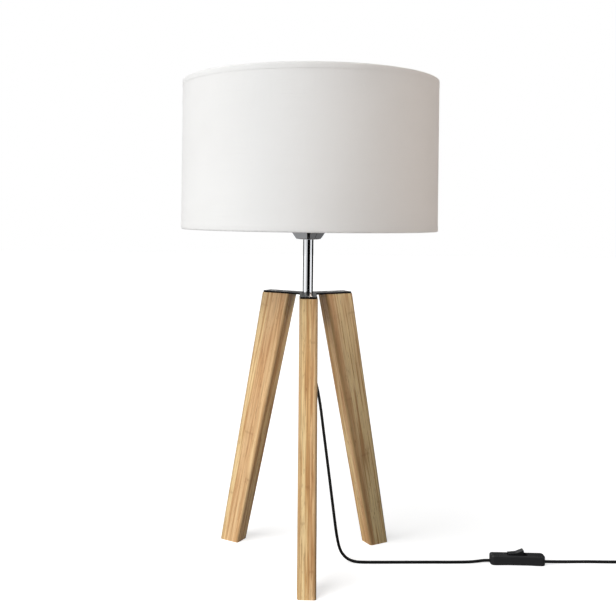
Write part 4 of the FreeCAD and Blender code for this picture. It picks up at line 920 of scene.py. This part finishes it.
@dataclass
class Shade:
    """Cloth drum on its film, with hems rolled, in millimetres, over two wires."""

    cloth_radius: float = 147.6 * MM
    cloth_thickness: float = 0.6 * MM
    low: float = 380.4 * MM
    high: float = 549.6 * MM
    segments: int = 256
    rows: int = 18
    glue: float = 0.02 * MM
    hem_height: float = 6.5 * MM
    hem_thickness: float = 0.2 * MM
    hem_overhang: float = 0.4 * MM
    hem_rises: tuple[float, ...] = (6.5 * MM, 3.9 * MM, 1.5 * MM)
    roll: tuple[tuple[float, float], ...] = (
        (2.6, 1.3),
        (2.25, 0.5),
        (1.25, 0.05),
        (-0.7, 0.05),
        (-1.7, 0.5),
        (-2.05, 1.3),
        (-1.6, 2.7),
        (-0.9, 3.6),
        (0.7, 4.1),
        (1.25, 5.6),
    )
    wire_place: float = 145.0 * MM
    seam_width: float = 11.0 * MM
    seam_thickness: float = 0.3 * MM
    seam_heading: float = 90.0
    seam_steps: int = 8

    def cloth(self) -> bpy.types.Object:
        """Make the drum of cloth.

        Returns:
            The cloth, one sheet with its real thickness.
        """
        shape = bmesh.new()
        bmesh.ops.create_circle(shape, radius=self.cloth_radius, segments=self.segments)
        bmesh.ops.translate(shape, verts=shape.verts, vec=(0.0, 0.0, self.low))
        step = (self.high - self.low) / self.rows
        rim = list(shape.edges)
        for _ in range(self.rows):
            grown = bmesh.ops.extrude_edge_only(shape, edges=rim)["geom"]
            verts = [item for item in grown if isinstance(item, bmesh.types.BMVert)]
            rim = [item for item in grown if isinstance(item, bmesh.types.BMEdge)]
            bmesh.ops.translate(shape, verts=verts, vec=(0.0, 0.0, step))
        bmesh.ops.recalc_face_normals(shape, faces=shape.faces)
        bmesh.ops.solidify(shape, geom=shape.faces, thickness=self.cloth_thickness)
        wrap_map(shape, self.cloth_radius)
        cloth = add_piece("drum_cloth", shape, CLOTH, Body.SHADE)
        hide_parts("shade_fabric")
        return cloth

    def hem(self, name: str, rim: float, inward: float) -> bpy.types.Object:
        """Make one tape that is glued over a rim and rolled round its wire.

        Args:
            name: The CAD node that it stands for.
            rim: Height of the hem's own edge.
            inward: Direction from the rim to the shade's middle, 1 or -1.

        Returns:
            The tape.
        """
        section = [(self.cloth_radius + self.glue, rise) for rise in self.hem_rises]
        section += [(self.wire_place + x * MM, z * MM) for x, z in self.roll]
        shape = spun([(radius, rim + inward * rise) for radius, rise in section], self.segments)
        bmesh.ops.recalc_face_normals(shape, faces=shape.faces)
        probe = max(shape.faces, key=lambda face: face.calc_center_median().x)
        if probe.normal.x < 0:
            bmesh.ops.reverse_faces(shape, faces=shape.faces)
        bmesh.ops.solidify(shape, geom=shape.faces, thickness=-self.hem_thickness)
        wrap_map(shape, self.cloth_radius)
        tape = add_piece(f"{name}_tape", shape, HEM, Body.SHADE, sharp=60.0)
        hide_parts(name)
        return tape

    def seam(self) -> bpy.types.Object:
        """Make the overlap where the cloth's two ends are glued, at the back."""
        turn = self.seam_width / self.cloth_radius
        shape = bmesh.new()
        inner = self.cloth_radius + self.glue
        ends = [
            shape.verts.new((inner, 0.0, height))
            for height in (self.low + self.hem_height, self.high - self.hem_height)
        ]
        edge = shape.edges.new(ends)
        bmesh.ops.spin(
            shape,
            geom=[*ends, edge],
            cent=(0.0, 0.0, 0.0),
            axis=(0.0, 0.0, 1.0),
            angle=turn,
            steps=self.seam_steps,
        )
        aim = Matrix.Rotation(math.radians(self.seam_heading) - turn / 2, 3, "Z")
        bmesh.ops.rotate(shape, cent=(0.0, 0.0, 0.0), matrix=aim, verts=shape.verts)
        bmesh.ops.recalc_face_normals(shape, faces=shape.faces)
        first = next(iter(shape.faces))
        if first.normal.dot(first.calc_center_median()) < 0:
            bmesh.ops.reverse_faces(shape, faces=shape.faces)
        bmesh.ops.solidify(shape, geom=shape.faces, thickness=-self.seam_thickness)
        wrap_map(shape, self.cloth_radius)
        return add_piece("cloth_overlap", shape, CLOTH, Body.SHADE)

    def build(self) -> None:
        """Make the cloth with its hems and dress the film and the wires."""
        cloth = self.cloth()
        hems = [
            self.hem("bottom_hem", self.low - self.hem_overhang, 1.0),
            self.hem("top_hem", self.high + self.hem_overhang, -1.0),
        ]
        self.seam()
        dress(LiningFinish("shade_film"), ["shade_liner"])
        enamel = PaintFinish(
            "white_enamel",
            colour=tint(232, 232, 229),
            worn=tint(208, 208, 204),
            roughness=0.32,
            peel=1400.0,
        )
        dress(enamel, ["bottom_wire", "top_wire", "shade_fitter"])


@dataclass
class Lead:
    """Lead on one smooth line, whose points and coil are in millimetres, and what it carries."""

    diameter: float = 3.4 * MM
    length: float = 1.791
    lamp_run: tuple[Point, ...] = (
        (0.0, 0.0, 252.35),
        (0.0, 0.0, 238.0),
        (7.0, -4.2, 217.5),
        (14.6, -7.8, 188.0),
        (20.2, -9.8, 146.0),
        (26.7, -11.6, 99.0),
        (32.7, -13.2, 54.0),
        (36.3, -13.8, 28.5),
        (39.6, -14.1, 14.9),
        (43.5, -14.6, 8.6),
        (48.6, -15.5, 4.2),
        (56.0, -17.3, 2.0),
        (64.5, -18.2, 1.75),
        (82.8, -17.3, 1.75),
        (110.4, -15.7, 1.75),
        (137.9, -14.1, 1.75),
        (165.5, -12.8, 1.75),
        (186.0, -11.4, 1.75),
        (197.0, -10.4, 2.4),
        (205.5, -9.0, 3.2),
        (212.3, -9.0, 3.2),
    )
    plug_run: tuple[Point, ...] = (
        (274.3, -9.0, 3.2),
        (281.0, -9.0, 3.2),
        (292.5, -6.6, 2.4),
        (307.0, -4.3, 1.75),
        (327.0, -3.0, 1.75),
        (350.0, -2.9, 1.85),
        (372.0, -3.0, 2.35),
    )
    tail_run: tuple[Point, ...] = (
        (415.0, -32.0, 14.2),
        (415.0, -38.0, 14.2),
        (414.0, -47.0, 12.2),
        (412.0, -56.0, 9.0),
        (411.5, -64.0, 6.85),
        (411.5, -71.0, 6.85),
    )
    coil_middle: tuple[float, float] = (392.0, -27.0)
    coil_radius: float = 24.0
    coil_pitch: float = 4.0
    layer_step: float = 3.95
    layer_heights: tuple[float, ...] = (2.35, 6.3, 10.25, 14.2)
    layer_quarters: tuple[int, ...] = (8, 8, 8, 7)
    points_per_quarter: int = 4
    round_steps: int = 3
    run_steps: int = 6
    carried: tuple[str, ...] = (
        "switch_base",
        "switch_cover",
        "switch_rocker",
        "rocker_blade",
        "switch_axle",
        "fixed_contacts",
        "switch_screws",
        "switch_cord_ends",
        "switch_cores",
        "coil_tie",
        "plug_relief",
        "plug_body",
        "plug_pins",
        "pin_sleeves",
    )

    def coil(self) -> list[Point]:
        """Lay the coil's turns, in and out by one pitch a turn and up a layer at each end.

        Returns:
            Control points in millimetres, wound clockwise seen from above.
        """
        spread = 1 / math.cos(math.pi / (4 * self.points_per_quarter))
        share = 1 / self.points_per_quarter
        stations: list[tuple[float, float, float]] = []
        radius, angle, inward = self.coil_radius, RIGHT_ANGLE, 1.0
        for layer, (height, quarters) in enumerate(zip(self.layer_heights, self.layer_quarters)):
            for _ in range(quarters * self.points_per_quarter):
                stations.append((radius, angle, height))
                radius -= inward * self.coil_pitch / 4 * share
                angle -= RIGHT_ANGLE * share
            if layer + 1 < len(self.layer_heights):
                for step in range(2 * self.points_per_quarter):
                    part = step * share / 2
                    bulge = -inward * self.coil_pitch / 8 * math.sin(math.pi * part)
                    rise = self.layer_step * (1 - math.cos(math.pi * part)) / 2
                    stations.append((radius + bulge, angle, height + rise))
                    angle -= RIGHT_ANGLE * share
                inward = -inward
        middle_x, middle_y = self.coil_middle
        points = []
        for reach, heading, height in stations:
            turn = math.radians(heading)
            x = middle_x + spread * reach * math.cos(turn)
            y = middle_y + spread * reach * math.sin(turn)
            points.append((x, y, height))
        return points

    def cord(self) -> bpy.types.Object:
        """Make the lead from the relief under the plate to the plug.

        Returns:
            The lead, one open spline.
        """
        route = [*self.lamp_run, *self.plug_run, *self.coil(), *self.tail_run]
        curve = bpy.data.curves.new("lead", "CURVE")
        curve.dimensions = "3D"
        curve.bevel_depth = self.diameter / 2
        curve.bevel_resolution = self.round_steps
        curve.use_fill_caps = True
        curve.resolution_u = self.run_steps
        spline = curve.splines.new("NURBS")
        spline.points.add(len(route) - 1)
        for point, (x, y, z) in zip(spline.points, route):
            point.co = (x * MM, y * MM, z * MM, 1.0)
        spline.order_u = 3
        spline.use_endpoint_u = True
        lead = add_object("lead", curve, JacketFinish("lead_jacket"))
        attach(lead, Body.BASE.value)
        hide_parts("cord_to_switch", "cord_to_coil", "cord_coil", "cord_to_plug")
        return lead

    def build(self) -> None:
        lead = self.cord()
        dress(JacketFinish("relief_rubber", roughness=0.45), ["cord_relief", "inner_cord"])
        dress(JacketFinish("inner_jacket"), ["switch_cord_ends", "plug_relief"])
        shell = MouldedFinish(
            "switch_moulding",
            colour=tint(37, 37, 38),
            scuff=tint(58, 58, 60),
            gloss=0.2,
        )
        dress(shell, ["switch_base", "switch_cover", "cord_grip"])
        glossy = MouldedFinish(
            "rocker_moulding",
            colour=tint(14, 14, 15),
            scuff=tint(40, 40, 42),
            roughness=0.34,
            gloss=0.25,
            grain=1500.0,
            depth=0.01 * MM,
        )
        dress(glossy, ["switch_rocker"])
        plug = MouldedFinish("plug_moulding", colour=tint(30, 30, 31), roughness=0.44)
        dress(plug, ["plug_body", "pin_sleeves"])
        nickel = MetalFinish("nickel", colour=tint(214, 211, 204), roughness=0.16)
        dress(nickel, ["plug_pins"])
        dress(WebbingFinish("tie_webbing"), ["coil_tie"])


# ---- Studio ----------------------------------


@dataclass(frozen=True)
class Sun:
    """Wide soft light that falls evenly on the lamp and the floor."""

    name: str
    heading: float
    rise: float
    strength: float
    softness: float

    def build(self) -> None:
        """Hang the light and aim it."""
        light = bpy.data.lights.new(self.name, "SUN")
        light.energy = self.strength
        light.angle = math.radians(self.softness)
        made = bpy.data.objects.new(self.name, light)
        turn = math.radians(self.heading)
        lift = math.radians(self.rise)
        level = math.cos(lift)
        source = Vector((-math.sin(turn) * level, -math.cos(turn) * level, math.sin(lift)))
        made.rotation_euler = source.to_track_quat("Z", "Y").to_euler()
        bpy.context.scene.collection.objects.link(made)


def hang_card(name: str, level: float, aim: Matrix) -> None:
    """Make a card that only bright metal and gloss reflect.

    Args:
        name: The card's name.
        level: How bright it is, 0 to 1.
        aim: Where the unit square goes.
    """
    card = add_object(name, flat_mesh(name, 2, aim), DullFinish(f"{name}_cloth", level))
    card.visible_camera = False
    card.visible_diffuse = False
    card.visible_shadow = False
    card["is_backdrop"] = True


@dataclass(frozen=True)
class StandingCard:
    """Tall card that faces the stem."""

    name: str
    level: float
    heading: float
    width: float
    distance: float = 1.9
    height: float = 2.6

    def build(self) -> None:
        """Stand the card so that it faces the lamp."""
        turn = math.radians(self.heading)
        size = Matrix.Diagonal((self.width, self.height, 1.0, 1.0))
        middle = (
            -math.sin(turn) * self.distance,
            -math.cos(turn) * self.distance,
            self.height / 2,
        )
        raised = Matrix.Rotation(math.radians(RIGHT_ANGLE), 4, "X")
        upright = Matrix.Rotation(-turn, 4, "Z") @ raised
        hang_card(self.name, self.level, Matrix.Translation(middle) @ upright @ size)


@dataclass(frozen=True)
class LyingCard:
    """Card on the floor under the lamp, which the cup reflects."""

    name: str
    level: float
    middle: tuple[float, float]
    size: tuple[float, float]
    height: float = 0.3 * MM

    def build(self) -> None:
        """Lay the card just above the floor."""
        wide, deep = self.size
        place = Matrix.Translation((*self.middle, self.height))
        hang_card(self.name, self.level, place @ Matrix.Diagonal((wide, deep, 1.0, 1.0)))


@dataclass(frozen=True)
class Spot:
    """Warm spotlight that is flagged to the shade."""

    name: str
    place: Point
    aim: Point
    power: float
    width: float
    colour: tuple[float, float, float]
    radius: float = 0.25
    blend: float = 0.35

    def build(self) -> None:
        """Hang the spotlight and aim it."""
        light = bpy.data.lights.new(self.name, "SPOT")
        light.energy = self.power
        light.spot_size = math.radians(self.width)
        light.spot_blend = self.blend
        light.shadow_soft_size = self.radius
        light.color = self.colour
        made = bpy.data.objects.new(self.name, light)
        made.location = self.place
        back = Vector(self.place) - Vector(self.aim)
        made.rotation_euler = back.to_track_quat("Z", "Y").to_euler()
        bpy.context.scene.collection.objects.link(made)


@dataclass
class Studio:
    """White sweep, soft key from the left, warm fill on the shade, cards and camera."""

    floor_size: float = 14.0
    floor_grey: float = 0.6
    floor_glow: float = 0.72
    fill: float = 0.04
    camera_place: Point = (-0.02322, -0.98199, 0.399)
    camera_roll: float = -0.682
    camera_turn: float = 1.318
    lens: float = 49.235
    shift: tuple[float, float] = (0.0627, -0.1542)

    def floor(self) -> None:
        """Lay the floor."""
        aim = Matrix.Diagonal((self.floor_size, self.floor_size, 1.0, 1.0))
        finish = SweepFinish("white_sweep", self.floor_grey, self.floor_glow)
        add_object("floor", flat_mesh("floor", 4, aim), finish)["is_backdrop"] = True

    def surround(self) -> None:
        """Set a white surround for the camera and bright metal, and a soft fill for the rest."""
        world = bpy.data.worlds.new("surround")
        bpy.context.scene.world = world
        graph = Graph(world)
        strength = self.fill + graph.seen() * (1.0 - self.fill)
        sky = graph.out("ShaderNodeBackground", sockets={"Color": WHITE, "Strength": strength})
        graph.node("ShaderNodeOutputWorld", sockets={"Surface": sky})

    def camera(self) -> None:
        """Set the camera that the photo was fitted with."""
        data = bpy.data.cameras.new("camera")
        data.lens = self.lens
        data.shift_x, data.shift_y = self.shift
        made = bpy.data.objects.new("camera", data)
        made.location = self.camera_place
        turns = (RIGHT_ANGLE, self.camera_roll, self.camera_turn)
        made.rotation_euler = tuple(math.radians(turn) for turn in turns)
        bpy.context.scene.collection.objects.link(made)
        bpy.context.scene.camera = made

    def build(self) -> None:
        """Set up floor, surround, lights, cards and camera."""
        self.floor()
        self.surround()
        self.camera()
        Sun("key", heading=52.0, rise=40.0, strength=3.55, softness=52.0).build()
        Spot(
            "shade_fill",
            place=(1.5, -0.55, 0.62),
            aim=(0.02, 0.0, 0.466),
            power=69.0,
            width=14.5,
            colour=(1.0, 0.84, 0.73),
        ).build()
        StandingCard("card_front", level=0.0, heading=-12.5, width=2.42).build()
        StandingCard("card_beside", level=0.62, heading=32.0, width=0.9).build()
        StandingCard("card_left", level=0.0, heading=140.0, width=2.2).build()
        StandingCard("card_right", level=0.0, heading=-126.0, width=3.2).build()
        LyingCard("card_floor_left", level=0.33, middle=(-0.4, 0.0), size=(0.8, 1.4)).build()
        LyingCard("card_floor_right", level=0.15, middle=(0.4, 0.0), size=(0.8, 1.4)).build()
        bpy.context.scene.view_settings.view_transform = "Standard"
        LOG.info("studio: ready")


def corners() -> list[list[float]]:
    """Give the shown object's lowest and highest corner as plain numbers."""
    return [[round(float(value), 6) for value in corner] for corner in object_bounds()]


def main() -> None:
    """Build the lamp's sub-assemblies and the studio."""
    logging.basicConfig(level=logging.INFO, format="%(name)s: %(message)s")
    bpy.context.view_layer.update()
    for assembly in (Tripod(), Stem(), Lampholder(), Shade(), Lead(), Studio()):
        assembly.build()
        LOG.info("%s: built", type(assembly).__name__)


if __name__ == "__main__":
    main()
